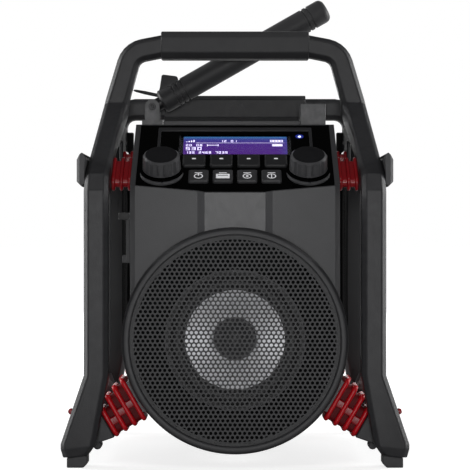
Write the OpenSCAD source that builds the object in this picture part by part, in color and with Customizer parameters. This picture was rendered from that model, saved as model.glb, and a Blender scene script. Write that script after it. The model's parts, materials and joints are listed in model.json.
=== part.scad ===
// Jobsite radio: a U-shaped body hung on rubber dampers inside a tubular roll cage.
// Lengths are in millimetres, with X to the right, Y to the rear and Z up.
// Depths are counted from the front faces of the front legs.

/* [Cage] */
// Depth over the front and rear legs
cage_d = 231; // [224:1:245]
// Outer face of a leg, from the middle
leg_x = 113.9; // [112:0.1:118]
// Width of a cage tube, side to side
tube_w = 18.5; // [17:0.1:19.5]
// Depth of a cage tube, front to back
tube_d = 20; // [18:0.5:22]
// Chamfer along the edges of a cage tube
tube_chamfer = 3.6; // [2:0.1:5]
// Height at which the legs begin to splay
splay_z = 69.5; // [64:0.5:76]
// Outermost reach of a splayed leg
toe_x = 131.3; // [128:0.1:134]
// Height of the bend between a front leg and its side rail
knee_z = 222; // [219:0.5:226]
// Slope of the side rails
rail_slope = 24.3; // [23:0.1:25.5]
// Height of the rear cage bar's top
rear_bar_z = 295.5; // [290:0.5:298]
// Height of the tubes that link the rear legs to the side rails
link_z = 272; // [268:0.5:273]
// Length of a mounting foot under a leg
foot_h = 7.2; // [6:0.1:9]

/* [Handle] */
// Depth of the handle's front face
handle_y = 153; // [148:0.5:158]
// Height of the handle bar's top
handle_z = 344.7; // [338:0.1:352]
// Height of the handle bar inside its grip
handle_bar_h = 18.7; // [16:0.1:20]
// Length of the rubber grip
grip_len = 125.2; // [110:0.2:132]
// Rubber above the handle bar
grip_over = 3; // [2:0.1:5]
// Rubber under the handle bar
grip_under = 1.6; // [1.2:0.1:3]

/* [Body] */
// Half width of the body, and the radius of its round bottom
body_r = 80.2; // [78:0.1:82]
// Height of the loudspeaker's centre
speaker_z = 95.3; // [93:0.1:98]
// Depth of the body's middle facet
body_front = 10; // [8:0.5:13]
// Depth at which the two housings meet
split_y = 112; // [105:1:120]
// Depth of the rear housing's back
body_back = 203; // [198:0.5:205]
// Height of the deck behind the control panel
deck_z = 264.8; // [262:0.1:266]
// Wall of the housings
wall = 3; // [2.4:0.1:3.6]

/* [Control panel] */
// Slope of the control panel
panel_slope = 33.2; // [31:0.1:35]
// Length of the sloped face from front to rear
panel_len = 95.6; // [92:0.2:99]
// Half width of the panel plate
panel_x = 75.8; // [74:0.1:77]
// Thickness of the panel plate
panel_t = 3; // [2.4:0.1:4]
// Width of the display window
display_w = 86; // [70:0.5:90]
// Height of the display window along the slope
display_h = 29.6; // [24:0.2:32]
// Spacing of the preset buttons
preset_pitch = 21.3; // [19:0.1:22]
// Width of a preset button
preset_w = 17.6; // [14:0.1:18]
// Height of a preset button along the slope
preset_h = 17.6; // [14:0.1:18.5]
// Spacing of the function buttons
function_pitch = 18.7; // [17:0.1:19]
// Width of a function button
function_w = 15.4; // [12:0.1:16]
// Height of a function button along the slope
function_h = 17.4; // [14:0.1:18]
// Travel of a button
button_travel = 1.2; // [0.6:0.1:1.4]
// Distance of the knobs from the middle
knob_x = 56.5; // [55:0.1:58]
// Radius of a knob at its foot
knob_r = 15.4; // [13:0.1:15.8]
// Height of a knob
knob_h = 12.8; // [11:0.1:20]
// Radius of the collar under a knob
collar_r = 16.8; // [16.2:0.1:17.5]
// Radius of an encoder shaft
shaft_r = 3; // [2.5:0.1:3.5]

/* [Loudspeaker] */
// Outer radius of the speaker ring
ring_r = 85.5; // [83:0.1:87]
// Depth of the speaker ring
ring_d = 20.5; // [18:0.5:24]
// Radius of the grille disc
grille_r = 79.6; // [77:0.1:80]
// Thickness of the grille disc
grille_t = 1.4; // [1:0.1:2]
// Spacing of the grille's holes
grille_pitch = 8.4; // [8:0.1:12]
// Radius of a grille hole
hole_r = 3; // [2:0.1:3.3]
// Radius of the opening for the driver
driver_r = 48; // [44:0.5:52]
// Radius of the driver's magnet
magnet_r = 36; // [28:0.5:40]

/* [Dampers] */
// Number of fins on a lower damper
lower_fins = 4; // [3:1:5]
// Spacing of the lower fins
fin_pitch = 8.1; // [7.5:0.1:8.6]
// Thickness of a lower fin
fin_t = 3.7; // [3:0.1:4.2]
// Width of a damper, front to back
damper_w = 30; // [26:0.5:32]
// Angle of the lower dampers below the horizontal
damper_angle = 30; // [28:0.5:32]
// Distance of a lower damper from the body's round side
damper_stand = 8.6; // [8:0.1:10]

/* [Antenna] */
// Distance of the antenna's pivot left of the middle
pivot_x = 71.3; // [69:0.1:73]
// Height of the antenna's pivot
pivot_z = 286; // [284:0.1:288]
// Depth of the antenna's plane
antenna_y = 190; // [188.5:0.1:191]
// Reach of the antenna from its pivot
antenna_len = 173; // [150:1:174]
// Radius of the antenna's sleeve
sleeve_r = 10.4; // [8:0.1:10.6]
// Angle of the raised antenna above the horizontal
antenna_angle = 29.6; // [10:0.1:60]

/* [Doors] */
// Half width of the battery bay
bay_x = 60; // [50:0.5:62]
// Height of the bay's floor
bay_z = 62; // [60:0.5:66]
// Height of the bay's opening
bay_h = 96; // [80:1:100]
// Depth of the battery bay
bay_d = 45; // [38:0.5:60]
// Thickness of the battery door
door_t = 3; // [2.4:0.1:4]
// Length of the socket cover
cover_h = 36; // [32:0.5:38]

/* [Clearances] */
// Gap between a fixed piece and a moving one
gap = 0.3; // [0.25:0.01:0.4]
// Radial clearance of a shaft that turns
run = 0.06; // [0.03:0.01:0.09]

/* [Hidden] */
$fn = 48;
eps = 0.02;

leg_in = leg_x - tube_w;
half_d = tube_d/2;
rear_y = cage_d - tube_d;

// The toe: inner and outer points of the splayed part, from the ground up
toe_in_x = leg_x - 3.4;
toe_z = foot_h + 2.2;
ankle_in = [leg_in + 9.8, toe_z + 7.4];
shin_in = [leg_in + 8.6, toe_z + 14.9];
toe_out = [toe_x - 1.5, foot_h];
ankle_out = [toe_x, foot_h + 6.8];
shin_out = [toe_x, foot_h + 10.6];

// The side rail: its top line starts behind the knee and climbs to the handle
rail_cut_z = knee_z - 22;
knee_low_z = knee_z - 13;
knee_y = 8.4;
slope_t = tan(rail_slope);
function rail_top(y) = knee_z + (y - knee_y)*slope_t;
function rail_under(y) = rail_top(y) - tube_d/cos(rail_slope);
rail_mid_y = 84;
rail_out_end = leg_x - 3.1;
rail_in_end = leg_in - 4.2;
handle_back = handle_y + tube_d;

// The handle: the bar slopes down past the grip and turns round a corner into the arms
corner_x = 74.8;
corner_z = handle_z - 28.8;
corner_r = 7.5;
arm_lean = 17.7;
bar_fall = 12;
arm_foot_z = rail_top(handle_y) + 3;
grip_x = grip_len/2;

// The rear bar: corner radius and the half length of its straight piece
rear_corner_r = 7;
rear_bar_h = 18.5;
rear_corner = [leg_in - rear_corner_r, rear_bar_z - rear_bar_h - rear_corner_r];
rear_bar_x = leg_in - 15.4;

// The rib along the inner face of a rear leg
rib_w = 5.5;
rib_t = 7;
pad_x = 62.2;
pad_t = 1.7;
pad_over = 2.7;

// The bumpers on the cage's sides
bumper_x = leg_x + 9.5;
bumper_z = knee_z + 3;
bumper_h = 25;
bumper_chamfer = 4.6;

// The panel's own frame: X across, Y up the slope, Z out of its face
panel_y = body_front + 8;
panel_z = deck_z - panel_len*sin(panel_slope);
panel_top_y = panel_y + panel_len*cos(panel_slope);
ledge = 3.8;
panel_rim = 1.2;
strip_x = [23, 28.5];
facet_drop = [1.6, 8];
front_ledge = 1.4;
board_z = -panel_t - 6;
board_t = 1.6;
key_flange = 1.6;
key_rise = 2.2;
dome_h = 0.6;
key_foot = board_z + dome_h + button_travel + gap;
display_s = 62.9;
preset_s = 35.9;
function_s = 12.7;
knob_s = 20.3;
knob_lift = 4;
bushing_r = shaft_r + 0.6;
encoder_w = 12;
led_x = 51.6;
led_s = 76;
led_r = 1.4;

// The loudspeaker, from its ring's front to the magnet's back
ring_y = 1.5;
baffle_y = ring_y + ring_d;
baffle_t = 3.5;
grille_y = ring_y + 3.4;
flange_t = 3;
flange_r = driver_r + 8;
basket_d = 33;
magnet_y = baffle_y + basket_d;
magnet_d = 18;
roll_r = 4.8;
roll_mid = driver_r - 4.3;
cone_r = roll_mid - roll_r;
cap_r = 16.5;
cone_y = baffle_y - flange_t;
cone_depth = 17;

// The dampers
damper_in = body_r + damper_stand;
damper_span = (lower_fins - 1)*fin_pitch + fin_t;
damper_out = damper_in + damper_span;
fin_low = -19.5;
fin_len = [37.5, 35.8, 32.5, 26, 22];
front_damper_y = baffle_y + 0.3;
rear_damper_y = body_back - damper_w - 1;
upper_len = 36;
upper_h = 12;
upper_angle = panel_slope + 2.3;
upper_at = [panel_y + 12, panel_z + 4.8];
rear_upper_at = [body_back - 39, link_z - 43];
rear_upper_len = 36;
rear_upper_h = 18;
lug_t = 3;

// The antenna and its bracket
ear_r = 6.3;
ear_t = 4;
knuckle_w = 13.4;
pin_r = 2;
sleeve_at = 8.6;
clip_x = 56;
clip_w = 22;
clip_top = pivot_z + 2.4;

// The doors
bay_top = bay_z + bay_h;
bay_y = body_back - bay_d;
door_y = body_back + gap;
hinge_z = bay_z - 12;
hinge_y = body_back + 4;
hinge_r = 3.4;
hinge_pin_r = 1.5;
lug_at = [20, 42];
lug_w = 8;
cover_y = 28;
cover_d = 24;
cover_t = 3.2;
cover_top = speaker_z + 94.4;
cover_pin_x = body_r + 6.4;
cover_pin_r = 1.1;
socket_z = cover_top - 19.5;
socket_h = 24;
socket_d = 16;

cage_grey = [0.16, 0.16, 0.17];
body_grey = [0.2, 0.2, 0.21];
gloss_black = [0.05, 0.05, 0.06];
rubber_black = [0.1, 0.1, 0.11];
damper_red = [0.72, 0.1, 0.12];
key_grey = [0.24, 0.24, 0.25];
steel = [0.7, 0.7, 0.72];

// ---- Shared shapes ----

// Moves from depths behind the front legs to the cage's own middle
module placed() {
    translate([0, -cage_d/2, 0]) children();
}

// Makes a right-hand piece on either side
module on_side(side) {
    if (side == "left") mirror([1, 0, 0]) children();
    else children();
}

// An eight-sided section from the point p to the point q, half as thick as v is long each way
function section(p, q, v, c) =
    let (w = norm(q - p), u = (q - p)/w, h = norm(v), n = v/h)
    [p + n*(c - h), p + u*c - n*h, p + u*(w - c) - n*h, q + n*(c - h),
     q + n*(h - c), p + u*(w - c) + n*h, p + u*c + n*h, p + n*(h - c)];

// A tube through a row of sections, each given as [p, q, v, c]
module tube(rungs) {
    n = len(rungs);
    points = [for (r = rungs) each section(r[0], r[1], r[2], r[3])];
    along = rungs[1][0] + rungs[1][1] - rungs[0][0] - rungs[0][1];
    turned = cross(rungs[0][1] - rungs[0][0], rungs[0][2])*along < 0;
    sides = [for (j = [0:n - 2], i = [0:7]) let (k = (i + 1)%8, a = 8*j, b = 8*(j + 1))
        each [[a + i, b + i, b + k], [a + i, b + k, a + k]]];
    caps = [[for (i = [0:7]) i], [for (i = [7:-1:0]) 8*(n - 1) + i]];
    faces = concat(sides, caps);
    polyhedron(points, turned ? [for (f = faces) [for (i = [len(f) - 1:-1:0]) f[i]]] : faces);
}

// An eight-sided outline, centred
module octagon(w, h, c) {
    x = w/2;
    y = h/2;
    polygon([[-x, c - y], [c - x, -y], [x - c, -y], [x, c - y],
             [x, y - c], [x - c, y], [c - x, y], [-x, y - c]]);
}

// A bar with round ends, from the origin along X
module stadium(len, t) {
    translate([t/2, -t/2]) square([len - t, t]);
    translate([t/2, 0]) circle(d=t);
    translate([len - t/2, 0]) circle(d=t);
}

// A rectangle with round corners, from the origin
module round_rect(w, h, r) {
    translate([r, 0]) square([w - 2*r, h]);
    translate([0, r]) square([w, h - 2*r]);
    for (x = [r, w - r], y = [r, h - r]) translate([x, y]) circle(r=r);
}

// Extrudes a front view from one depth to another
module front_view(y0, y1) {
    translate([0, y1, 0]) rotate([90, 0, 0]) linear_extrude(y1 - y0) children();
}

// Extrudes a view of depth and height from one X to another
module side_view(x0, x1) {
    translate([x0, 0, 0]) rotate([90, 0, 90]) linear_extrude(x1 - x0) children();
}

// Places pieces in the panel's frame
module on_panel() {
    translate([0, panel_y, panel_z]) rotate([panel_slope, 0, 0]) children();
}

// A revolved outline of radius and depth about the loudspeaker's axis
module revolved() {
    translate([0, 0, speaker_z]) rotate([-90, 0, 0]) rotate_extrude() children();
}

// The body's front view, with a radius that may be drawn in for the inside
module u_shape(r, top) {
    translate([0, speaker_z]) circle(r=r);
    translate([-r, speaker_z]) square([2*r, top - speaker_z]);
}

// The frame of a lower damper: X out from the loudspeaker's centre, Y up
module damper_frame() {
    translate([0, speaker_z]) rotate(-damper_angle) children();
}

// ---- Cage ----

module leg_tube(y, toe_back) {
    toe_half = half_d - 1.6;
    toe_mid = y + half_d + toe_back*1.6;
    mid = y + half_d;
    v = [0, half_d, 0];
    tube([
        [[toe_in_x, toe_mid, toe_z], [toe_out[0], toe_mid, toe_out[1]], [0, toe_half, 0], tube_chamfer],
        [[ankle_in[0], mid, ankle_in[1]], [ankle_out[0], mid, ankle_out[1]], v, tube_chamfer],
        [[shin_in[0], mid, shin_in[1]], [shin_out[0], mid, shin_out[1]], v, tube_chamfer],
        [[leg_in, mid, splay_z], [leg_x, mid, splay_z], v, tube_chamfer],
        [[leg_in, mid, rail_cut_z], [leg_x, mid, rail_cut_z], v, tube_chamfer]]);
}

module front_leg(side) {
    color(cage_grey) placed() on_side(side) leg_tube(0, 1);
}

module rear_leg(side) {
    mid = rear_y + half_d;
    v = [0, half_d, 0];
    bend = [for (a = [0:22.5:90]) let (d = [cos(a), 0, sin(a)], c = [rear_corner[0], mid, rear_corner[1]])
        [c + d*rear_corner_r, c + d*(rear_corner_r + rear_bar_h), v, tube_chamfer]];
    low = [[leg_in, mid, rail_cut_z - 1], [leg_x, mid, rail_cut_z - 1], v, tube_chamfer];
    top = rear_bar_z;
    last = [[rear_bar_x, mid, top - rear_bar_h], [rear_bar_x, mid, top], v, tube_chamfer];
    across = (leg_x + leg_in)/2;
    w = [tube_w/2, 0, 0];
    under = link_z - 19;
    start = [for (z = [under, link_z]) knee_y + (z + tube_d/cos(rail_slope) - knee_z)/slope_t];
    color(cage_grey) placed() on_side(side) {
        leg_tube(rear_y, -1);
        tube(concat([low], bend, [last]));
        tube([[[across, start[0], under], [across, start[1], link_z], w, tube_chamfer],
              [[across, rear_y + 5, under], [across, rear_y + 5, link_z], w, tube_chamfer]]);
        translate([leg_in - rib_w, mid - rib_t/2, splay_z + 4])
            cube([rib_w + 1, rib_t, rear_corner[1] - splay_z - 8]);
        side_view(leg_in, leg_in + lug_t)
            translate([rear_upper_at[0], rear_upper_at[1]])
                square([rear_upper_len, under + 2*tube_chamfer - rear_upper_at[1]]);
    }
}

module side_rail(side) {
    across = (leg_x + leg_in)/2;
    w = [tube_w/2, 0, 0];
    mid_out = leg_x - 1.5;
    mid_x = (leg_in + mid_out)/2;
    mid_w = [(mid_out - leg_in)/2, 0, 0];
    end_x = (rail_in_end + rail_out_end)/2;
    end_w = [(rail_out_end - rail_in_end)/2, 0, 0];
    drop = tube_d*sin(rail_slope);
    lug_y = upper_at[0] + 2;
    lug_end = lug_y + upper_len*cos(upper_angle);
    color(cage_grey) placed() on_side(side) {
        tube([
            [[across, tube_d, rail_cut_z], [across, 0, rail_cut_z], w, tube_chamfer],
            [[across, tube_d, rail_cut_z + 3.5], [across, 0, knee_low_z], w, tube_chamfer],
            [[across, tube_d + 2.5, rail_under(tube_d + 2.5)], [across, knee_y, knee_z], w, tube_chamfer],
            [[mid_x, rail_mid_y + drop, rail_under(rail_mid_y + drop)],
             [mid_x, rail_mid_y, rail_top(rail_mid_y)], mid_w, tube_chamfer],
            [[end_x, handle_back, rail_under(handle_back)],
             [end_x, handle_y, rail_top(handle_y)], end_w, tube_chamfer]]);
        side_view(leg_in, leg_in + lug_t) polygon([
            [lug_y, rail_under(lug_y) + 5], [lug_y, upper_at[1] - 4], [lug_y + 5, upper_at[1] - upper_h + 1],
            [lug_end, upper_at[1] - upper_h + 1 + (upper_len*cos(upper_angle) - 5)*tan(upper_angle)],
            [lug_end, rail_under(lug_end) + 5]]);
    }
}

module handle_hoop() {
    mid = handle_y + half_d;
    v = [0, half_d, 0];
    mitre = [0, half_d, (rail_under(handle_back) - rail_top(handle_y))/2];
    mitre_z = (rail_under(handle_back) + rail_top(handle_y))/2;
    foot = [[rail_in_end, mid, mitre_z], [rail_out_end, mid, mitre_z], mitre, tube_chamfer];
    arm = [[rail_in_end - 1.6, mid, arm_foot_z], [rail_out_end - 1.2, mid, arm_foot_z], v, tube_chamfer];
    bend = [for (i = [0:5]) let (a = arm_lean + (90 - bar_fall - arm_lean)*i/5,
                                 d = [cos(a), 0, sin(a)], c = [corner_x, mid, corner_z])
        [c + d*corner_r, c + d*(corner_r + tube_w), v, tube_chamfer]];
    bar = [[grip_x, mid, handle_z - handle_bar_h], [grip_x, mid, handle_z], v, tube_chamfer];
    right = concat([foot, arm], bend, [bar]);
    flip = [-1, 1, 1];
    n = len(right);
    left = [for (i = [n - 1:-1:0]) let (r = right[i])
        [[for (k = [0:2]) r[0][k]*flip[k]], [for (k = [0:2]) r[1][k]*flip[k]], r[2], r[3]]];
    color(cage_grey) placed() tube(concat(right, left));
}

module handle_grip() {
    h = handle_bar_h + grip_over + grip_under;
    d = tube_d + 6.5;
    color(rubber_black) placed()
        translate([-grip_x, handle_y + half_d, handle_z - handle_bar_h/2])
        rotate([90, 0, 90]) linear_extrude(grip_len) difference() {
            translate([0, (grip_over - grip_under)/2]) octagon(d, h, 5);
            octagon(tube_d, handle_bar_h, tube_chamfer);
        }
}

module rear_bar() {
    color(cage_grey) placed() translate([-rear_bar_x, rear_y + half_d, rear_bar_z - rear_bar_h/2])
        rotate([90, 0, 90]) linear_extrude(2*rear_bar_x) octagon(tube_d, rear_bar_h, tube_chamfer);
}

module rear_bar_pad() {
    h = rear_bar_h + pad_over + pad_t;
    color(rubber_black) placed()
        translate([-pad_x, rear_y + half_d, rear_bar_z - rear_bar_h/2])
        rotate([90, 0, 90]) linear_extrude(2*pad_x) difference() {
            translate([-half_d - pad_t, -rear_bar_h/2 - pad_t])
                translate([(tube_d + pad_t)/2, h/2]) octagon(tube_d + pad_t, h, tube_chamfer);
            octagon(tube_d, rear_bar_h, tube_chamfer);
            translate([half_d - 5, -h]) square([10, 2*h]);
        }
}

module side_bumper(side) {
    v = [0, 0, bumper_h/2];
    ease = 25;
    bow = [[half_d, 4, 1.6], [half_d + ease, bumper_x - leg_x - 1.2, 3.9],
           [half_d + 2*ease, bumper_x - leg_x, bumper_chamfer]];
    front = [for (b = bow) [[leg_x, b[0], bumper_z], [leg_x + b[1], b[0], bumper_z], v, b[2]]];
    back = [for (i = [2:-1:0]) let (b = bow[i], y = cage_d - b[0])
        [[leg_x, y, bumper_z], [leg_x + b[1], y, bumper_z], v, b[2]]];
    color(rubber_black) placed() on_side(side) tube(concat(front, back));
}

// The rail low between the legs, whose sloped inner face carries the lower dampers
module lower_rail(side) {
    low = damper_point(damper_out, fin_low + 1);
    high = damper_point(damper_out, 8);
    bottom = ankle_in[1] - 1;
    boss = [leg_x - 8.4, bottom - 1.8];
    color(cage_grey) placed() on_side(side) {
        front_view(tube_d, rear_y) polygon([
            low, [leg_x - 7.4, bottom], [leg_x + 7, bottom], [leg_x + 7.6, bottom + 18],
            [leg_x, bottom + 38], [leg_x - 5, bottom + 38], high]);
        front_view(tube_d + 6, tube_d + 18) translate(boss) circle(r=3.3);
    }
}

module rubber_feet() {
    slope = (toe_z - toe_out[1])/(toe_in_x - toe_out[0]);
    x0 = toe_in_x + 0.5;
    x1 = toe_x - 4.7;
    function seat(x) = toe_z + (x - toe_in_x)*slope;
    color(rubber_black) placed() for (side = ["left", "right"], y = [3.4, cage_d - tube_d + 1.6])
        on_side(side) front_view(y, y + tube_d - 5) polygon([
            [x0, seat(x0)], [x0, 3.2], [x0 + 3.2, 0], [x1, 0], [x1, seat(x1)]]);
}

// ---- Dampers ----

function damper_point(x, y) = [
    x*cos(damper_angle) + y*sin(damper_angle),
    speaker_z - x*sin(damper_angle) + y*cos(damper_angle)];

module lower_damper(y) {
    groove = 3.5;
    web = 7;
    front_view(y, y + damper_w) damper_frame() for (i = [0:lower_fins - 1])
        translate([damper_in + fin_t/2 + i*fin_pitch, fin_low]) rotate(90) stadium(fin_len[i], fin_t);
    front_view(y + groove, y + damper_w - groove) damper_frame()
        translate([damper_in, fin_low + groove])
            square([damper_span, fin_len[lower_fins - 1] - 2*groove]);
    front_view(y + 1.2, y + damper_w - 1.2) damper_frame()
        translate([damper_in, fin_low + fin_len[lower_fins - 1]/2 - web/2 + 1])
            square([damper_span, web]);
}

module damper_lower(side) {
    color(damper_red) placed() on_side(side) lower_damper(front_damper_y);
}

module damper_rear_lower() {
    color(damper_red) placed() for (side = ["left", "right"]) on_side(side) lower_damper(rear_damper_y);
}

// Three upright fins on a core, between the body's side and the cage
module upper_damper(at, len, h, angle) {
    room = leg_in - body_r;
    n = 3;
    t = room/(2*n - 1)*0.9;
    step = (room - t)/(n - 1);
    module outline(shrink) {
        translate(at) rotate(angle) translate([shrink, -h + shrink])
            round_rect(len - 2*shrink, h - 2*shrink, 5);
    }
    for (i = [0:n - 1]) side_view(body_r + i*step, body_r + i*step + t) outline(0);
    side_view(body_r, leg_in) outline(2.6);
}

module damper_upper(side) {
    color(damper_red) placed() on_side(side)
        upper_damper(upper_at, upper_len, upper_h, upper_angle);
}

module damper_rear_upper() {
    at = [rear_upper_at[0], rear_upper_at[1] + rear_upper_h];
    color(damper_red) placed() for (side = ["left", "right"])
        on_side(side) upper_damper(at, rear_upper_len, rear_upper_h, 0);
}

// ---- Housings ----

// The body's plan: a middle facet, two narrow strips and two side facets
module body_plan(inset) {
    x = body_r - inset;
    f = body_front + inset;
    far = cage_d;
    a = strip_x;
    d = facet_drop;
    polygon([[-x, far], [-x, f + 12], [4 - x, f + d[1]], [-a[1], f + d[0]], [-a[0], f],
             [a[0], f], [a[1], f + d[0]], [x - 4, f + d[1]], [x, f + 12], [x, far]]);
}

// The panel plate's outline, whose front edge follows the body's facets
module panel_outline(grow) {
    x = panel_x + grow;
    top = panel_len - panel_rim - gap + grow;
    function front(drop) = (body_front + drop - panel_y)/cos(panel_slope) + panel_rim + gap - grow;
    polygon([[-x, front(facet_drop[1])], [-strip_x[1], front(facet_drop[0])], [-strip_x[0], front(0)],
             [strip_x[0], front(0)], [strip_x[1], front(facet_drop[0])], [x, front(facet_drop[1])],
             [x, top], [-x, top]]);
}

// The side view under the sloped panel and the deck, lowered by an inset
module body_side(inset) {
    drop = inset/cos(panel_slope);
    t = tan(panel_slope);
    z = deck_z - inset;
    y = panel_top_y - (inset - inset/cos(panel_slope))/t;
    polygon([[0, 0], [0, panel_z - panel_y*t - drop], [y, z], [cage_d, z], [cage_d, 0]]);
}

module body_block(inset, slope_inset, y0, y1) {
    intersection() {
        front_view(y0, y1) u_shape(body_r - inset, deck_z);
        linear_extrude(deck_z) body_plan(inset);
        side_view(-body_r, body_r) body_side(slope_inset);
    }
}

module damper_seats(y) {
    for (side = ["left", "right"]) on_side(side) front_view(y + 3, y + damper_w - 3) damper_frame()
        translate([body_r - 8, -13]) square([damper_stand + 8, 26]);
}

module front_housing() {
    color(body_grey) placed() difference() {
        union() {
            body_block(0, 0, 0, split_y);
            damper_seats(front_damper_y);
            translate([-body_r, cover_y, cover_top - 2.5]) cover_ears();
        }
        difference() {
            body_block(wall, 2*panel_t, 0, split_y + 1);
            front_view(0, baffle_y + baffle_t) translate([0, speaker_z]) circle(r=ring_r + wall);
        }
        front_view(-1, baffle_y) translate([0, speaker_z]) circle(r=ring_r + gap);
        front_view(-1, split_y) translate([0, speaker_z]) circle(r=driver_r);
        on_panel() {
            translate([0, 0, -panel_t]) linear_extrude(20) panel_outline(gap);
            translate([ledge - panel_x, panel_rim + front_ledge, -20])
                cube([2*(panel_x - ledge), panel_len - 2*panel_rim - ledge - front_ledge, 40]);
        }
        translate([-body_r - 1, cover_y + (cover_d - socket_d)/2, socket_z - socket_h/2])
            cube([wall + 2, socket_d, socket_h]);
    }
}

// Two ears at the top of the socket cover, bored for its pin
module cover_ears() {
    ear = 4;
    for (y = [-gap - ear, cover_d + gap]) difference() {
        translate([wall, y, 0]) mirror([1, 0, 0]) cube([cover_pin_x - body_r + 2.6 + wall, ear, 5]);
        translate([body_r - cover_pin_x, y - 1, 2.5]) rotate([-90, 0, 0])
            cylinder(r=cover_pin_r, h=ear + 2);
    }
}

module rear_housing() {
    bay_wall = 2.5;
    color(body_grey) placed() difference() {
        union() {
            difference() {
                rear_block(0);
                rear_block(wall);
            }
            translate([-bay_x - bay_wall, bay_y - bay_wall, bay_z - bay_wall])
                cube([2*(bay_x + bay_wall), bay_d + bay_wall - 1, bay_h + 2*bay_wall]);
            damper_seats(rear_damper_y);
            translate([-61, antenna_y - 16, deck_z - 1]) cube([116, 6, 6.5]);
            for (x = lug_at, side = ["left", "right"]) on_side(side) translate([x, 0, 0]) {
                translate([0, body_back - 1, hinge_z - hinge_r])
                    cube([lug_w, hinge_y - body_back + 1, 2*hinge_r]);
                translate([0, hinge_y, hinge_z]) rotate([0, 90, 0]) cylinder(r=hinge_r, h=lug_w);
            }
        }
        translate([-bay_x, bay_y, bay_z]) cube([2*bay_x, bay_d + 1, bay_h]);
        translate([-cage_d, hinge_y, hinge_z]) rotate([0, 90, 0]) cylinder(r=hinge_pin_r, h=2*cage_d);
        for (p = screw_at) translate([p[0], body_back - wall - 1, p[1]])
            rotate([-90, 0, 0]) cylinder(r=1.6, h=wall + 2);
    }
}

module rear_block(inset) {
    edge = 5;
    x = body_r - inset;
    back = body_back - inset;
    intersection() {
        front_view(split_y - (inset > 0 ? 1 : 0), back) u_shape(x, deck_z - inset);
        linear_extrude(deck_z) polygon([[-x, 0], [-x, back - edge], [edge - x, back],
                                        [x - edge, back], [x, back - edge], [x, 0]]);
    }
}

screw_x = bay_x + 9.5;
screw_at = [for (x = [-screw_x, screw_x], z = [bay_z + 24, bay_top + 14, deck_z - 16]) [x, z]];

module housing_screws() {
    color(steel) placed() for (p = screw_at) translate([p[0], body_back, p[1]]) rotate([-90, 0, 0])
        difference() {
            union() {
                cylinder(r=3, h=2);
                translate([0, 0, -wall]) cylinder(r=1.6, h=wall + 1);
            }
            translate([0, 0, 1]) cylinder(r=1.3, h=2, $fn=6);
        }
}

// ---- Control panel ----

function row_x(i, pitch) = (i - 2.5)*pitch;

module panel_key(x, s, w, h) {
    on_panel() translate([x, s, 0]) {
        translate([-w/2, -h/2, -panel_t - gap - 1]) linear_extrude(panel_t + gap + 1 + key_rise - 0.6)
            round_rect(w, h, 1.6);
        translate([-w/2 + 0.8, -h/2 + 0.8, key_rise - 0.8]) linear_extrude(0.8)
            round_rect(w - 1.6, h - 1.6, 1.2);
        translate([-w/2 - 0.7, -h/2 - 0.7, -panel_t - gap - key_flange])
            linear_extrude(key_flange) round_rect(w + 1.4, h + 1.4, 1.6);
        translate([0, 0, key_foot]) cylinder(r=2, h=-panel_t - gap - key_foot - 0.5);
    }
}

module control_panel() {
    lens_w = display_w + 3;
    lens_h = display_h + 3;
    slot = gap;
    color(gloss_black) placed() on_panel() difference() {
        union() {
            translate([0, 0, -panel_t]) linear_extrude(panel_t) panel_outline(0);
            for (x = [-knob_x, knob_x]) translate([x, knob_s, -0.5]) cylinder(r=collar_r, h=3.5);
            for (x = [-66, 66], s = [44, 84]) translate([x, s, board_z]) cylinder(r=2.4, h=-board_z - 1);
        }
        for (x = [-knob_x, knob_x]) translate([x, knob_s, 0]) {
            cylinder(r=knob_r - 1, h=10);
            translate([0, 0, -panel_t - 1]) cylinder(r=bushing_r, h=10);
            translate([-1, -collar_r - 1, 0.8]) cube([2, collar_r, 5]);
        }
        translate([-lens_w/2, display_s - lens_h/2, -1.2]) cube([lens_w, lens_h, 5]);
        translate([-display_w/2, display_s - display_h/2, -panel_t - 1])
            cube([display_w, display_h, 10]);
        translate([led_x, led_s, -panel_t - 1]) cylinder(r=led_r + 0.1, h=10);
        for (i = [1:4]) {
            translate([row_x(i, preset_pitch) - preset_w/2 - slot, preset_s - preset_h/2 - slot, -9])
                linear_extrude(20) round_rect(preset_w + 2*slot, preset_h + 2*slot, 1.6);
            translate([row_x(i, function_pitch) - function_w/2 - slot,
                       function_s - function_h/2 - slot, -9])
                linear_extrude(20) round_rect(function_w + 2*slot, function_h + 2*slot, 1.6);
        }
    }
}

module preset_button(i) {
    color(key_grey) placed() panel_key(row_x(i, preset_pitch), preset_s, preset_w, preset_h);
}

module function_button(i) {
    color(key_grey) placed() panel_key(row_x(i, function_pitch), function_s, function_w, function_h);
}

module display_lens() {
    color([0.2, 0.2, 0.35, 0.4]) placed() on_panel()
        translate([-display_w/2 - 1.4, display_s - display_h/2 - 1.4, -1.2])
            cube([display_w + 2.8, display_h + 2.8, 1]);
}

module display_module() {
    color([0.35, 0.3, 0.8]) placed() on_panel()
        translate([-display_w/2 - 4, display_s - display_h/2 - 2, board_z])
            cube([display_w + 8, display_h + 4, -panel_t - board_z]);
}

module status_led() {
    color([0.85, 0.9, 1]) placed() on_panel() translate([led_x, led_s, board_z]) {
        cylinder(r=led_r, h=-board_z - led_r + 0.6);
        translate([0, 0, -board_z - led_r + 0.6]) sphere(r=led_r);
    }
}

module main_board() {
    color([0.1, 0.35, 0.2]) placed() on_panel() {
        translate([-69, 7, board_z - board_t]) cube([138, panel_len - 16, board_t]);
        for (i = [1:4]) {
            translate([row_x(i, preset_pitch), preset_s, board_z - eps]) cylinder(r=3, h=dome_h);
            translate([row_x(i, function_pitch), function_s, board_z - eps]) cylinder(r=3, h=dome_h);
        }
    }
}

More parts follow.
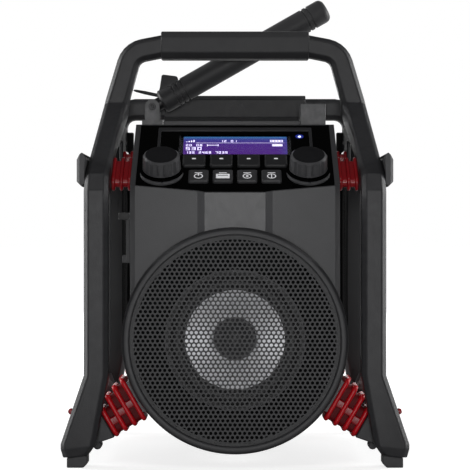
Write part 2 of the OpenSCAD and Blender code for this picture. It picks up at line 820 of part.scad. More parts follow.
module knob_shape(x) {
    flutes = 12;
    on_panel() translate([x, knob_s, knob_lift]) difference() {
        union() {
            cylinder(r1=knob_r, r2=knob_r - 0.6, h=knob_h - 1.6);
            translate([0, 0, knob_h - 1.6]) cylinder(r1=knob_r - 0.6, r2=knob_r - 2.4, h=1.6);
        }
        translate([0, 0, -1]) cylinder(r=shaft_r, h=knob_h - 2);
        translate([0, 0, -1]) cylinder(r=knob_r - 4, h=4);
        for (i = [0:flutes - 1]) rotate(360/flutes*(i + 0.5)) translate([knob_r + 4, 0, 1.4])
            rotate([0, -2, 0]) cylinder(r=4.8, h=knob_h + 4);
    }
}

module volume_knob() {
    color(key_grey) placed() knob_shape(-knob_x);
}

module tuning_knob() {
    color(key_grey) placed() knob_shape(knob_x);
}

module shaft_shape(x) {
    on_panel() translate([x, knob_s, board_z + 1.2])
        cylinder(r=shaft_r, h=knob_lift + knob_h - 3 - board_z - 1.2);
}

module volume_shaft() {
    color(steel) placed() shaft_shape(-knob_x);
}

module tuning_shaft() {
    color(steel) placed() shaft_shape(knob_x);
}

module knob_encoders() {
    color([0.5, 0.5, 0.52]) placed() on_panel() for (x = [-knob_x, knob_x])
        translate([x, knob_s, 0]) difference() {
            union() {
                translate([-encoder_w/2, -encoder_w/2, board_z])
                    cube([encoder_w, encoder_w, -panel_t - board_z]);
                translate([0, 0, -panel_t - 1]) cylinder(r=bushing_r, h=panel_t + 3);
            }
            translate([0, 0, board_z + 0.9]) cylinder(r=shaft_r + run, h=20);
        }
}

// ---- Loudspeaker ----

module speaker_ring() {
    lip = 3;
    color(body_grey) placed() revolved() polygon([
        [grille_r - lip, grille_y + grille_t], [grille_r, grille_y + grille_t],
        [grille_r, ring_y + 1.6], [grille_r + 1, ring_y],
        [ring_r - 2.4, ring_y], [ring_r, ring_y + 4], [ring_r, baffle_y],
        [grille_r - lip, baffle_y]]);
}

module speaker_grille() {
    row = grille_pitch*sqrt(3)/2;
    reach = grille_r - 1.5 - hole_r;
    n = ceil(reach/row);
    color(rubber_black) placed() front_view(grille_y, grille_y + grille_t)
        translate([0, speaker_z]) difference() {
            circle(r=grille_r);
            for (j = [-n:n], i = [-n - 1:n + 1])
                let (x = (i + (j%2 == 0 ? 0 : 0.5))*grille_pitch, z = j*row)
                if (norm([x, z]) < reach) translate([x, z]) circle(r=hole_r);
        }
}

module speaker_basket() {
    neck = driver_r - 0.4;
    foot = magnet_r - 2;
    windows = 6;
    color([0.3, 0.3, 0.31]) placed() difference() {
        revolved() polygon([
            [neck - 2, cone_y], [flange_r, cone_y], [flange_r, baffle_y],
            [neck, baffle_y], [neck, baffle_y + 5], [foot, magnet_y - 3], [foot, magnet_y],
            [18, magnet_y], [18, magnet_y - 2], [foot - 3, magnet_y - 3],
            [neck - 2, baffle_y + 3]]);
        for (i = [0:windows - 1]) translate([0, 0, speaker_z]) rotate([0, i*360/windows, 0])
            translate([-9, baffle_y + 6, 0]) cube([18, basket_d - 11, driver_r + 5]);
    }
}

module speaker_surround() {
    color(rubber_black) placed() revolved() difference() {
        union() {
            translate([roll_mid, cone_y]) circle(r=roll_r);
            translate([roll_mid - roll_r - 2, cone_y - 1]) square([2*roll_r + 8, 1]);
        }
        translate([roll_mid, cone_y]) circle(r=roll_r - 0.9);
        translate([roll_mid - roll_r - 3, cone_y]) square([2*roll_r + 12, roll_r + 2]);
    }
}

module speaker_cone() {
    throat = cap_r - 3;
    color([0.78, 0.78, 0.8]) placed() revolved() polygon([
        [cone_r, cone_y], [cone_r - 2, cone_y], [throat, cone_y + cone_depth],
        [throat, cone_y + cone_depth + 14], [throat + 1, cone_y + cone_depth + 14],
        [throat + 1, cone_y + cone_depth + 1], [cone_r, cone_y + 1.4]]);
}

module speaker_dust_cap() {
    fall = (cone_r - 2 - cap_r)/(cone_r - 2 - cap_r + 3)*cone_depth;
    dome = 22;
    rim_y = cone_y + fall;
    centre = rim_y + sqrt(dome*dome - cap_r*cap_r);
    color(rubber_black) placed() revolved() intersection() {
        difference() {
            translate([0, centre]) circle(r=dome);
            translate([0, centre]) circle(r=dome - 0.8);
        }
        translate([0, rim_y - 12]) square([cap_r, 12]);
    }
}

module speaker_magnet() {
    color([0.25, 0.25, 0.26]) placed() revolved() difference() {
        union() {
            translate([16, magnet_y]) square([magnet_r - 16, magnet_d]);
            translate([0, magnet_y + magnet_d - 5]) square([magnet_r - 4, 7]);
        }
        translate([magnet_r - 2, magnet_y + 3]) square([4, 1.2]);
    }
}

// ---- Doors ----

module battery_door() {
    edge = 4;
    w = bay_x + edge;
    color(body_grey) placed() difference() {
        union() {
            translate([-w, door_y + door_t, bay_z - edge]) rotate([90, 0, 0])
                linear_extrude(door_t) round_rect(2*w, bay_h + 2*edge, 5);
            for (side = ["left", "right"]) on_side(side)
                translate([lug_at[0] + lug_w + gap, 0, 0]) {
                    translate([0, door_y + 0.6, hinge_z])
                        cube([lug_at[1] - lug_at[0] - lug_w - 2*gap, door_t - 0.6, bay_z - hinge_z]);
                    translate([0, hinge_y, hinge_z]) rotate([0, 90, 0])
                        cylinder(r=hinge_r, h=lug_at[1] - lug_at[0] - lug_w - 2*gap);
                }
        }
        translate([-cage_d, hinge_y, hinge_z]) rotate([0, 90, 0])
            cylinder(r=hinge_pin_r + run, h=2*cage_d);
        for (i = [-2:2]) translate([-24, door_y + door_t - 0.8, bay_top - 10 + i*3])
            cube([48, 2, 1.4]);
    }
}

module battery_door_pin() {
    reach = lug_at[1] + lug_w;
    color(steel) placed() translate([-reach, hinge_y, hinge_z]) rotate([0, 90, 0])
        cylinder(r=hinge_pin_r, h=2*reach);
}

module battery_pack() {
    color([0.3, 0.32, 0.36]) placed()
        translate([-bay_x + 1, body_back - 1, bay_z]) rotate([90, 0, 0])
            linear_extrude(bay_d - 1) round_rect(2*bay_x - 2, bay_h - 1, 6);
}

module socket_cover() {
    face = body_r + gap;
    color(rubber_black) placed() mirror([1, 0, 0]) {
        difference() {
            union() {
                translate([face, cover_y, cover_top - cover_h]) cube([cover_t, cover_d, cover_h]);
                translate([face, cover_y, cover_top]) rotate([-90, 0, 0]) linear_extrude(cover_d)
                        stadium(cover_pin_x - body_r - gap + 2.7, 5.4);
                translate([face + cover_t - 1, cover_y + 7, cover_top - cover_h])
                    cube([4.2, cover_d - 14, 6]);
            }
            translate([cover_pin_x, cover_y - 1, cover_top]) rotate([-90, 0, 0])
                cylinder(r=cover_pin_r + run, h=cover_d + 2);
        }
    }
}

module socket_cover_pin() {
    color(steel) placed() translate([-cover_pin_x, cover_y - gap - 4, cover_top]) rotate([-90, 0, 0])
        cylinder(r=cover_pin_r, h=cover_d + 2*gap + 8);
}

module socket_block() {
    y0 = cover_y + (cover_d - socket_d)/2;
    inner = body_r - wall;
    clear = 0.2;
    mid_y = cover_y + cover_d/2;
    color(gloss_black) placed() mirror([1, 0, 0]) difference() {
        union() {
            translate([inner - 8, y0 + clear, socket_z - socket_h/2 + clear])
                cube([wall + 7.6, socket_d - 2*clear, socket_h - 2*clear]);
            translate([inner - 2, y0 - 3, socket_z - socket_h/2 - 3])
                cube([2, socket_d + 6, socket_h + 6]);
        }
        translate([inner - 6, mid_y, socket_z + 6]) rotate([0, 90, 0]) cylinder(r=1.8, h=20);
        difference() {
            translate([inner - 6, mid_y, socket_z - 5]) rotate([0, 90, 0]) cylinder(r=3.2, h=20);
            translate([inner - 7, mid_y, socket_z - 5]) rotate([0, 90, 0]) cylinder(r=1, h=8.4);
        }
    }
}

// ---- Antenna ----

// The antenna's frame: X along the raised antenna from its pivot
module on_antenna() {
    translate([-pivot_x, antenna_y, pivot_z]) rotate([0, -antenna_angle, 0]) children();
}

module antenna_bracket() {
    base_w = 17.8;
    base_h = pivot_z - 12 - deck_z;
    half = knuckle_w/2 + gap;
    color(cage_grey) placed() difference() {
        translate([-pivot_x, antenna_y, 0]) {
            translate([-base_w/2, -half - ear_t, deck_z]) cube([base_w, 2*(half + ear_t), base_h]);
            for (y = [-half - ear_t, half]) front_view(y, y + ear_t) {
                translate([-ear_r, deck_z + 1]) square([2*ear_r, pivot_z - deck_z - 1]);
                translate([0, pivot_z]) circle(r=ear_r);
            }
        }
        translate([-pivot_x, antenna_y - 30, pivot_z]) rotate([-90, 0, 0]) cylinder(r=pin_r, h=60);
    }
}

module antenna_pivot() {
    half = knuckle_w/2 + gap + ear_t;
    color(steel) placed() translate([-pivot_x, antenna_y, pivot_z]) rotate([-90, 0, 0]) difference() {
        union() {
            translate([0, 0, -half]) cylinder(r=pin_r, h=2*half);
            translate([0, 0, -half - 1.8]) cylinder(r=3.2, h=1.8);
            translate([0, 0, half]) cylinder(r=3.2, h=1.6);
        }
        translate([0, 0, -half - 2.8]) cylinder(r=1.4, h=2, $fn=6);
    }
}

module antenna_knuckle() {
    stem = 7;
    color(steel) placed() on_antenna() difference() {
        union() {
            translate([0, knuckle_w/2, 0]) rotate([90, 0, 0]) cylinder(r=ear_r - 0.3, h=knuckle_w);
            rotate([0, 90, 0]) cylinder(r=5.6, h=sleeve_at + stem);
        }
        translate([0, knuckle_w, 0]) rotate([90, 0, 0]) cylinder(r=pin_r + run, h=2*knuckle_w);
    }
}

module antenna_whip() {
    stem = 7;
    cap = 21;
    collar = 24;
    tip_r = 5;
    grooves = [collar - 7, collar - 11.5, collar - 16, antenna_len - cap, antenna_len - cap + 4.5];
    lug_at_x = sleeve_at + 5;
    color(rubber_black) placed() on_antenna() {
        difference() {
            rotate([0, 90, 0]) rotate_extrude() difference() {
                union() {
                    polygon([[0, sleeve_at], [sleeve_r - 1.6, sleeve_at], [sleeve_r, sleeve_at + 1.6],
                             [sleeve_r, antenna_len - tip_r], [sleeve_r - tip_r, antenna_len - tip_r],
                             [sleeve_r - tip_r, antenna_len], [0, antenna_len]]);
                    intersection() {
                        translate([sleeve_r - tip_r, antenna_len - tip_r]) circle(r=tip_r);
                        translate([0, antenna_len - tip_r]) square([sleeve_r, tip_r]);
                    }
                }
                for (g = grooves) translate([sleeve_r - 1, sleeve_at + g - (g > 60 ? sleeve_at : 0)])
                    square([2, 1.8]);
            }
            rotate([0, 90, 0]) cylinder(r=5.6, h=sleeve_at + stem);
        }
        translate([lug_at_x, -5, sleeve_r - 2]) cube([12, 10, 5.4]);
        translate([lug_at_x + 2, 0, sleeve_r + 0.2]) rotate([0, -60, 0]) cylinder(r=1.9, h=20);
    }
}

module antenna_clip() {
    slot_r = sleeve_r + gap;
    back = min(body_back - 1, antenna_y + slot_r + 2.5);
    color(cage_grey) placed() difference() {
        translate([clip_x, antenna_y - slot_r - 3, deck_z])
            cube([clip_w, back - antenna_y + slot_r + 3, clip_top - deck_z]);
        translate([clip_x - 1, antenna_y, pivot_z]) rotate([0, 90, 0]) cylinder(r=slot_r, h=clip_w + 2);
        translate([clip_x - 1, antenna_y - slot_r, pivot_z]) cube([clip_w + 2, 2*slot_r, 20]);
        translate([clip_x - 1, antenna_y - 8, deck_z - 1]) cube([clip_w + 2, 16, 4]);
    }
}

front_leg("left");  // front_leg_left
front_leg("right");  // front_leg_right
rear_leg("left");  // rear_leg_left
rear_leg("right");  // rear_leg_right
side_rail("left");  // side_rail_left
side_rail("right");  // side_rail_right
handle_hoop();
rear_bar();
side_bumper("left");  // side_bumper_left
side_bumper("right");  // side_bumper_right
lower_rail("left");  // lower_rail_left
lower_rail("right");  // lower_rail_right
handle_grip();
rear_bar_pad();
rubber_feet();
damper_upper("left");  // damper_upper_left
damper_upper("right");  // damper_upper_right
damper_lower("left");  // damper_lower_left
damper_lower("right");  // damper_lower_right
damper_rear_upper();
damper_rear_lower();
front_housing();
rear_housing();
housing_screws();
control_panel();
display_lens();
display_module();
status_led();
main_board();
preset_button(1);  // preset_button_1
preset_button(2);  // preset_button_2
preset_button(3);  // preset_button_3
preset_button(4);  // preset_button_4
function_button(1);  // function_button_1
function_button(2);  // function_button_2
function_button(3);  // function_button_3
function_button(4);  // function_button_4
volume_knob();
tuning_knob();
volume_shaft();
tuning_shaft();
knob_encoders();
speaker_ring();
speaker_grille();
speaker_basket();
speaker_surround();
speaker_cone();
speaker_dust_cap();
speaker_magnet();
battery_door();
battery_door_pin();
battery_pack();
socket_cover();
socket_cover_pin();
socket_block();
antenna_bracket();
antenna_pivot();
antenna_knuckle();
antenna_whip();
antenna_clip();
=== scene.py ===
"""Looks of a jobsite radio: finishes, detail pieces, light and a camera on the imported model.

Pieces are modelled in millimetres in frames of their own, and scaled to metres when placed.
Depths are counted from the front faces of the front legs, as in the part's source.
"""

from __future__ import annotations

import json
import logging
import math
from dataclasses import dataclass
from enum import Enum
from typing import Callable, Iterable

import bpy
from mathutils import Matrix, Vector

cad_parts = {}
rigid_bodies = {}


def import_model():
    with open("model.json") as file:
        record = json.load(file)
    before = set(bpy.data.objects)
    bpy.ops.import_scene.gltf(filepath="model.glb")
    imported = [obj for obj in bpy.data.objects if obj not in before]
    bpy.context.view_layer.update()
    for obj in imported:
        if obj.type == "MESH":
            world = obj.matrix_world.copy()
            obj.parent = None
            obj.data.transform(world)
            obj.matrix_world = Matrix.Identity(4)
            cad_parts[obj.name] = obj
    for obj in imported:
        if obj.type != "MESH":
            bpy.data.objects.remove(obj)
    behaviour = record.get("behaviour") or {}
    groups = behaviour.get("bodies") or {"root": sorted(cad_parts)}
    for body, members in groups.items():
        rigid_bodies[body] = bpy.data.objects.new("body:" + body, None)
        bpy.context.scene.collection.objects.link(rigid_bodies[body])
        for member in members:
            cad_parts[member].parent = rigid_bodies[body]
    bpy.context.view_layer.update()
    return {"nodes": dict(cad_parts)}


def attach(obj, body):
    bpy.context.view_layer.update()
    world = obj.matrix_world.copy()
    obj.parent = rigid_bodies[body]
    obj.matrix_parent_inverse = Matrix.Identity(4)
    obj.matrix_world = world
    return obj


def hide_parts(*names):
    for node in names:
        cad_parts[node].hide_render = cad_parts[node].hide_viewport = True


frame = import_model()

LOG = logging.getLogger("jobsite_radio")
HALF_DEPTH = 115.5
SPEAKER_Z = 95.3
PANEL_SLOPE = 33.2
ANTENNA_REST = 29.6
DAMPER_SLOPE = math.radians(30)
Point = tuple[float, float]
Place = tuple[float, float, float]
Piece = bpy.types.Object
Socket = bpy.types.NodeSocket


class Side(Enum):
    """The two sides of the radio, seen from the front."""

    LEFT = "left"
    RIGHT = "right"

    @property
    def sign(self) -> float:
        """The sign of X on this side."""
        return -1.0 if self is Side.LEFT else 1.0


class Symbol(Enum):
    """Plain marks for the function keys."""

    RING = "ring"
    BAR = "bar"
    DOT = "dot"
    HALF = "half"


# ---- Frames: local millimetres to the row frame's millimetres ----


def moved(x: float, depth: float, z: float) -> Matrix:
    """A frame at a place, its axes along the row's."""
    return Matrix.Translation((x, depth - HALF_DEPTH, z))


def turned_about(axis: str, degrees: float) -> Matrix:
    """A turn about one axis."""
    return Matrix.Rotation(math.radians(degrees), 4, axis)


def axes(x: Place, y: Place, z: Place) -> Matrix:
    """A turn whose local axes lie along the three given directions."""
    return Matrix((x, y, z)).transposed().to_4x4()


def shifted(x: float, y: float, z: float) -> Matrix:
    """A place inside another frame."""
    return Matrix.Translation((x, y, z))


def arc(x: float, y: float, r: float, degrees: Iterable[float]) -> list[Point]:
    """Points round a centre at the given angles."""
    turns = [math.radians(a) for a in degrees]
    return [(x + r * math.cos(a), y + r * math.sin(a)) for a in turns]


PANEL = moved(0, 18, 212.453) @ turned_about("X", PANEL_SLOPE)
SPEAKER = moved(0, 0, SPEAKER_Z) @ turned_about("X", -90)
ANTENNA = moved(-71.3, 190, 286) @ turned_about("Y", -ANTENNA_REST)
ALONG_ANTENNA = ANTENNA @ turned_about("Y", 90)
FRONTAL = axes((1, 0, 0), (0, 0, 1), (0, -1, 0))
DAMPER = moved(0, 0, SPEAKER_Z) @ axes(
    (math.cos(DAMPER_SLOPE), 0, -math.sin(DAMPER_SLOPE)),
    (math.sin(DAMPER_SLOPE), 0, math.cos(DAMPER_SLOPE)),
    (0, -1, 0),
)


# ---- Finishes ----


def linear(value: float) -> float:
    """A display value from 0 to 255 as linear light."""
    v = value / 255
    return v / 12.92 if v <= 0.04045 else ((v + 0.055) / 1.055) ** 2.4


class Sheet:
    """A material's node sheet, with short ways to add what finishes need."""

    def __init__(self, name: str) -> None:
        """Starts a material with its shader and the object's own coordinates.

        Args:
            name: The material's name.
        """
        self.material = bpy.data.materials.new(name)
        self.material.use_nodes = True
        self.nodes = self.material.node_tree.nodes
        self.links = self.material.node_tree.links
        self.shader = self.nodes["Principled BSDF"]
        self.place = self.add("ShaderNodeTexCoord").outputs["Object"]

    def add(self, kind: str, **values: object) -> bpy.types.Node:
        """Adds a node.

        Args:
            kind: Blender's name of the node.
            values: Settings of the node, or values of its inputs by name.

        Returns:
            The new node.
        """
        node = self.nodes.new(kind)
        for key, value in values.items():
            if hasattr(node, key):
                setattr(node, key, value)
            else:
                node.inputs[key.replace("_", " ")].default_value = value
        return node

    def noise(self, size: float, detail: float = 3.0, stretch: Vector | None = None) -> Socket:
        """A noise pattern.

        Args:
            size: Its grain in millimetres.
            detail: Finer layers over it.
            stretch: How much coarser it is along each axis.

        Returns:
            The socket of its value.
        """
        node = self.add("ShaderNodeTexNoise", Scale=1000.0 / size, Detail=detail)
        source = self.place
        if stretch is not None:
            mapping = self.add("ShaderNodeMapping")
            mapping.inputs["Scale"].default_value = [1 / s for s in stretch]
            self.links.new(source, mapping.inputs["Vector"])
            source = mapping.outputs["Vector"]
        self.links.new(source, node.inputs["Vector"])
        return node.outputs["Fac"]

    def ramp(self, value: Socket, stops: list[tuple[float, Place]]) -> Socket:
        """Turns a value into colours between stops.

        Args:
            value: The value.
            stops: Where each stop lies, and its colour.

        Returns:
            The socket of the colour.
        """
        node = self.add("ShaderNodeValToRGB")
        elements = node.color_ramp.elements
        while len(elements) < len(stops):
            elements.new(0.5)
        for element, (where, color) in zip(elements, stops):
            element.position = where
            element.color = (*color, 1.0)
        self.links.new(value, node.inputs["Fac"])
        return node.outputs["Color"]

    def span(
        self, value: Socket, low: float, high: float, start: float = 0.3, end: float = 0.7,
    ) -> Socket:
        """Maps a value to a range.

        Args:
            value: The value.
            low: What its start becomes.
            high: What its end becomes.
            start: Where it starts.
            end: Where it ends.

        Returns:
            The socket of the mapped value.
        """
        node = self.add("ShaderNodeMapRange")
        for key, number in (
            ("From Min", start), ("From Max", end), ("To Min", low), ("To Max", high),
        ):
            node.inputs[key].default_value = number
        self.links.new(value, node.inputs["Value"])
        return node.outputs["Result"]

    def blend(self, factor: Socket, first: Socket, second: Place) -> Socket:
        """Blends from a colour socket to a fixed colour.

        Args:
            factor: How much of the second there is.
            first: The socket of the first colour.
            second: The second colour.

        Returns:
            The socket of the blend.
        """
        node = self.add("ShaderNodeMix", data_type="RGBA")
        self.links.new(factor, node.inputs[0])
        self.links.new(first, node.inputs[6])
        node.inputs[7].default_value = (*second, 1.0)
        return node.outputs[2]

    def multiply(self, first: Socket, second: Socket | float) -> Socket:
        """Multiplies a value by another or by a number.

        Args:
            first: The value.
            second: The other value, or the number.

        Returns:
            The socket of the product.
        """
        node = self.add("ShaderNodeMath", operation="MULTIPLY")
        self.links.new(first, node.inputs[0])
        if isinstance(second, float):
            node.inputs[1].default_value = second
        else:
            self.links.new(second, node.inputs[1])
        return node.outputs[0]

    def bump(
        self, height: Socket, depth: float, strength: float = 1.0, under: Socket | None = None,
    ) -> Socket:
        """Raises a surface by a pattern.

        Args:
            height: The pattern.
            depth: Its depth in millimetres.
            strength: How much of it shows.
            under: The normal of a pattern beneath it.

        Returns:
            The socket of the normal.
        """
        node = self.add("ShaderNodeBump", Strength=strength, Distance=depth / 1000)
        self.links.new(height, node.inputs["Height"])
        if under is not None:
            self.links.new(under, node.inputs["Normal"])
        return node.outputs["Normal"]

    def wire(self, value: Socket, name: str) -> None:
        """Leads a socket to an input of the shader."""
        self.links.new(value, self.shader.inputs[name])

    def set(self, **values: object) -> None:
        """Sets inputs of the shader, named with _ for a blank."""
        for key, value in values.items():
            self.shader.inputs[key.replace("_", " ")].default_value = value


@dataclass(frozen=True)
class Finish:
    """A finish of a surface, by its colour on the display from 0 to 255.

    The grain is the fine texture of the mould, the mottle a slow change of tone,
    and the wear and highlight a paler tone along edges: partly real rubbing, partly
    a painted highlight where the edges catch the light, strongest on the bracket.
    """

    name: str
    slot: str
    color: tuple[float, float, float]
    rough: float = 0.5
    metallic: float = 0.0
    specular: float = 0.5
    grain: float = 0.6
    grain_depth: float = 0.05
    mottle: float = 0.06
    wear_and_highlight: float = 0.0

    def material(self) -> bpy.types.Material:
        """The finish as a material, made once."""
        known = bpy.data.materials.get(self.name)
        return known or self.mix().material

    def mix(self) -> Sheet:
        """Wires up the finish.

        Returns:
            Its node sheet.
        """
        sheet = Sheet(self.name)
        base = tuple(linear(v) for v in self.color)
        dark = tuple(v * (1 - self.mottle) for v in base)
        light = tuple(min(1.0, v * (1 + self.mottle)) for v in base)
        tone = sheet.ramp(sheet.noise(14.0, 4.0), [(0.35, dark), (0.65, light)])
        fine = sheet.noise(self.grain, 2.0)
        # Paler edges: partly real rubbing, partly a painted highlight along the edges that catch
        # the light.
        if self.wear_and_highlight > 0:
            pointed = sheet.add("ShaderNodeNewGeometry").outputs["Pointiness"]
            edges = sheet.span(pointed, 0.0, 1.0, 0.51, 0.58)
            rub = sheet.multiply(edges, sheet.span(sheet.noise(6.0, 5.0), 0.0, self.wear_and_highlight))
            tone = sheet.blend(rub, tone, tuple(min(1.0, v * 2.2 + 0.01) for v in base))
        sheet.wire(tone, "Base Color")
        sheet.wire(
            sheet.span(sheet.noise(5.0, 4.0), self.rough * 0.96, self.rough * 1.04), "Roughness",
        )
        sheet.wire(sheet.bump(fine, self.grain_depth), "Normal")
        sheet.set(Metallic=self.metallic, Specular_IOR_Level=self.specular)
        return sheet


@dataclass(frozen=True)
class Rubber(Finish):
    """Moulded rubber, which scatters a little light inside and carries fine dust in its grain."""

    inside: float = 0.0
    dust: float = 0.15

    def mix(self) -> Sheet:
        """Wires up the rubber.

        Returns:
            Its node sheet.
        """
        sheet = super().mix()
        sheet.set(Subsurface_Weight=self.inside, Subsurface_Scale=0.002)
        sheet.set(Sheen_Weight=self.dust, Sheen_Roughness=0.5)
        return sheet


@dataclass(frozen=True)
class Turned(Finish):
    """Metal or pressed paper with fine lines turned about an axis along Y."""

    centre: Place = (0, 0, 0)

    def mix(self) -> Sheet:
        """Wires up the turned surface.

        Returns:
            Its node sheet.
        """
        sheet = super().mix()
        mapping = sheet.add("ShaderNodeMapping", vector_type="TEXTURE")
        mapping.inputs["Location"].default_value = [v / 1000 for v in self.centre]
        rings = sheet.add(
            "ShaderNodeTexWave", wave_type="RINGS", rings_direction="Y", Scale=420.0,
            Distortion=0.6,
        )
        sheet.links.new(sheet.place, mapping.inputs["Vector"])
        sheet.links.new(mapping.outputs["Vector"], rings.inputs["Vector"])
        under = sheet.shader.inputs["Normal"].links[0].from_socket
        sheet.wire(sheet.bump(rings.outputs["Fac"], 0.02, 0.5, under), "Normal")
        return sheet


@dataclass(frozen=True)
class Backlight(Finish):
    """The lit liquid crystal: violet-blue, with a cyan glow at its top and right edges."""

    def mix(self) -> Sheet:
        """Wires up the display.

        Returns:
            Its node sheet.
        """
        sheet = Sheet(self.name)
        split = sheet.add("ShaderNodeSeparateXYZ")
        sheet.links.new(sheet.place, split.inputs["Vector"])
        stops = [
            (0.0, (0.095, 0.02, 0.26)),
            (0.6, (0.085, 0.02, 0.29)),
            (0.84, (0.06, 0.06, 0.34)),
            (1.0, (0.05, 0.22, 0.5)),
        ]
        top = sheet.ramp(sheet.span(split.outputs["Z"], 0.0, 1.0, 0.2385, 0.2536), stops)
        glow = sheet.blend(
            sheet.span(split.outputs["X"], 0.0, 0.3, 0.034, 0.043), top, (0.04, 0.14, 0.5),
        )
        rows = sheet.add("ShaderNodeTexWave", bands_direction="Z", Scale=700.0)
        sheet.links.new(sheet.place, rows.inputs["Vector"])
        tone = sheet.blend(sheet.multiply(rows.outputs["Fac"], 0.15), glow, (0.02, 0.01, 0.08))
        sheet.wire(tone, "Emission Color")
        sheet.set(
            Base_Color=(0.004, 0.003, 0.01, 1), Emission_Strength=0.85, Specular_IOR_Level=0.03,
        )
        sheet.wire(sheet.span(sheet.noise(2.0), 0.2, 0.3), "Roughness")
        return sheet


@dataclass(frozen=True)
class Glow(Finish):
    """A glowing surface: the lit display marks and status lamp, and painted glow on the key prints
    and round the status lamp.
    """

    strength: float = 1.0

    def mix(self) -> Sheet:
        """Wires up the glow.

        Returns:
            Its node sheet.
        """
        sheet = Sheet(self.name)
        base = tuple(linear(v) for v in self.color)
        tone = sheet.ramp(sheet.noise(1.5), [(0.2, tuple(v * 0.85 for v in base)), (0.8, base)])
        sheet.wire(tone, "Emission Color")
        sheet.wire(tone, "Base Color")
        sheet.set(Emission_Strength=self.strength, Specular_IOR_Level=0.1)
        return sheet


@dataclass(frozen=True)
class Window(Finish):
    """Clear acrylic with a faint haze of fine scratches."""

    def mix(self) -> Sheet:
        """Wires up the window.

        Returns:
            Its node sheet.
        """
        sheet = Sheet(self.name)
        scratches = sheet.noise(1.2, 6.0, Vector((9, 1, 1)))
        sheet.wire(sheet.span(scratches, 0.0, 0.03), "Roughness")
        sheet.wire(sheet.bump(scratches, 0.003, 0.3), "Normal")
        sheet.set(Base_Color=(*(linear(v) for v in self.color), 1), Transmission_Weight=1.0)
        sheet.set(IOR=1.07, Specular_IOR_Level=0.3)
        return sheet


CAGE = Finish(
    "cage_nylon", "cage_plastic", (43, 43, 45), 0.5, specular=0.38, grain=0.9, grain_depth=0.09,
    wear_and_highlight=0.5,
)
BUMPER = Finish(
    "bumper_nylon", "rubber_black", (54, 54, 56), 0.55, grain=0.9, grain_depth=0.09, wear_and_highlight=0.4,
)
BODY = Finish(
    "body_texture", "body_plastic", (66, 66, 68), 0.45, specular=0.55, grain=0.7, grain_depth=0.08,
    mottle=0.03,
)
# The full edge tone here paints a pale highlight along the bracket's edges.
BRACKET = Finish(
    "bracket_nylon", "cage_plastic", (56, 56, 58), 0.45, grain=0.7, grain_depth=0.05, wear_and_highlight=1.0,
)
# Painted shade: near-black for the inner faces of the rear legs, where shadow falls between the
# legs and the body.
REAR_LEG_SHADE = Finish("leg_recess", "cage_plastic", (12, 12, 13), 0.7, specular=0.1)
INNER = Finish("inner_plastic", "body_plastic", (40, 40, 42), 0.6)
GLOSS = Finish(
    "panel_gloss_black", "panel_gloss", (2, 2, 2), 0.14, specular=0.04, grain=2.0,
    grain_depth=0.004, mottle=0.05,
)
# Painted highlight: a satin grey for the raised frame round the display, standing for the light
# caught along its edges on the gloss black panel.
BEZEL_HIGHLIGHT = Finish(
    "bezel_painted_highlight", "panel_gloss", (42, 42, 44), 0.35, specular=0.4, grain=0.5, grain_depth=0.02,
)
RUBBER = Rubber("rubber_dark", "rubber_black", (42, 42, 44), 0.58, grain=0.8, grain_depth=0.1)
RED = Rubber(
    "rubber_red_moulded", "rubber_red", (190, 14, 26), 0.38, specular=0.4, grain=1.2,
    grain_depth=0.05, inside=0.03, dust=0.0,
)
# A darker copy of the red rubber that paints shade, between the fins of the lower dampers and over
# the upper dampers under the rails. The pin ends also use this darker red.
DARK_RED_PAINTED_SHADE = Rubber(
    "rubber_dark_red_painted_shade", "rubber_red", (136, 8, 18), 0.3, specular=0.45, grain=1.2,
    grain_depth=0.04, dust=0.0,
)
# A still darker copy of the red rubber: painted shade deep in the grooves between the fins.
RED_GROOVE_SHADE = Rubber(
    "rubber_red_groove_painted_shade", "rubber_red", (92, 6, 12), 0.6, specular=0.2, grain=1.2,
    grain_depth=0.04, dust=0.0,
)
KEYS = Finish("key_soft_touch", "key_plastic", (58, 58, 60), 0.5, grain=0.5, grain_depth=0.04)
PRESET = Finish("preset_soft_touch", "key_plastic", (29, 29, 31), 0.5, grain=0.5, grain_depth=0.04)
# Painted shade: a darker copy of the knob's plastic for its up-facing top.
KNOB_TOP_SHADE = Finish(
    "knob_top_painted_shade", "key_plastic", (26, 26, 28), 0.6, specular=0.12, grain=0.5, grain_depth=0.03,
)
KNOB = Finish("knob_satin", "key_plastic", (62, 62, 64), 0.4, grain=0.5, grain_depth=0.04, wear_and_highlight=0.3)
RING = Finish("ring_satin", "ring_plastic", (50, 50, 52), 0.55, grain=0.7, grain_depth=0.06)
COLLAR = Finish(
    "collar_satin", "ring_plastic", (72, 72, 74), 0.35, specular=0.6, grain=0.5, grain_depth=0.02,
)
GRILLE = Finish(
    "grille_powder_coat", "grille_metal", (48, 48, 50), 0.55, metallic=0.1, grain=0.5,
    grain_depth=0.03,
)
LENS = Window("lens_acrylic", "lens", (235, 235, 240))
LCD = Backlight("display_backlight", "display", (80, 52, 139))
GLYPH = Glow("display_glyphs", "display", (235, 228, 255), strength=0.8)
LAMP = Glow("status_glow", "led", (226, 236, 255), strength=1.6)
# Painted glow: a dim blue ring round the status lamp, standing for its light on the panel.
HALO = Glow("status_halo", "led", (40, 52, 150), strength=0.5)
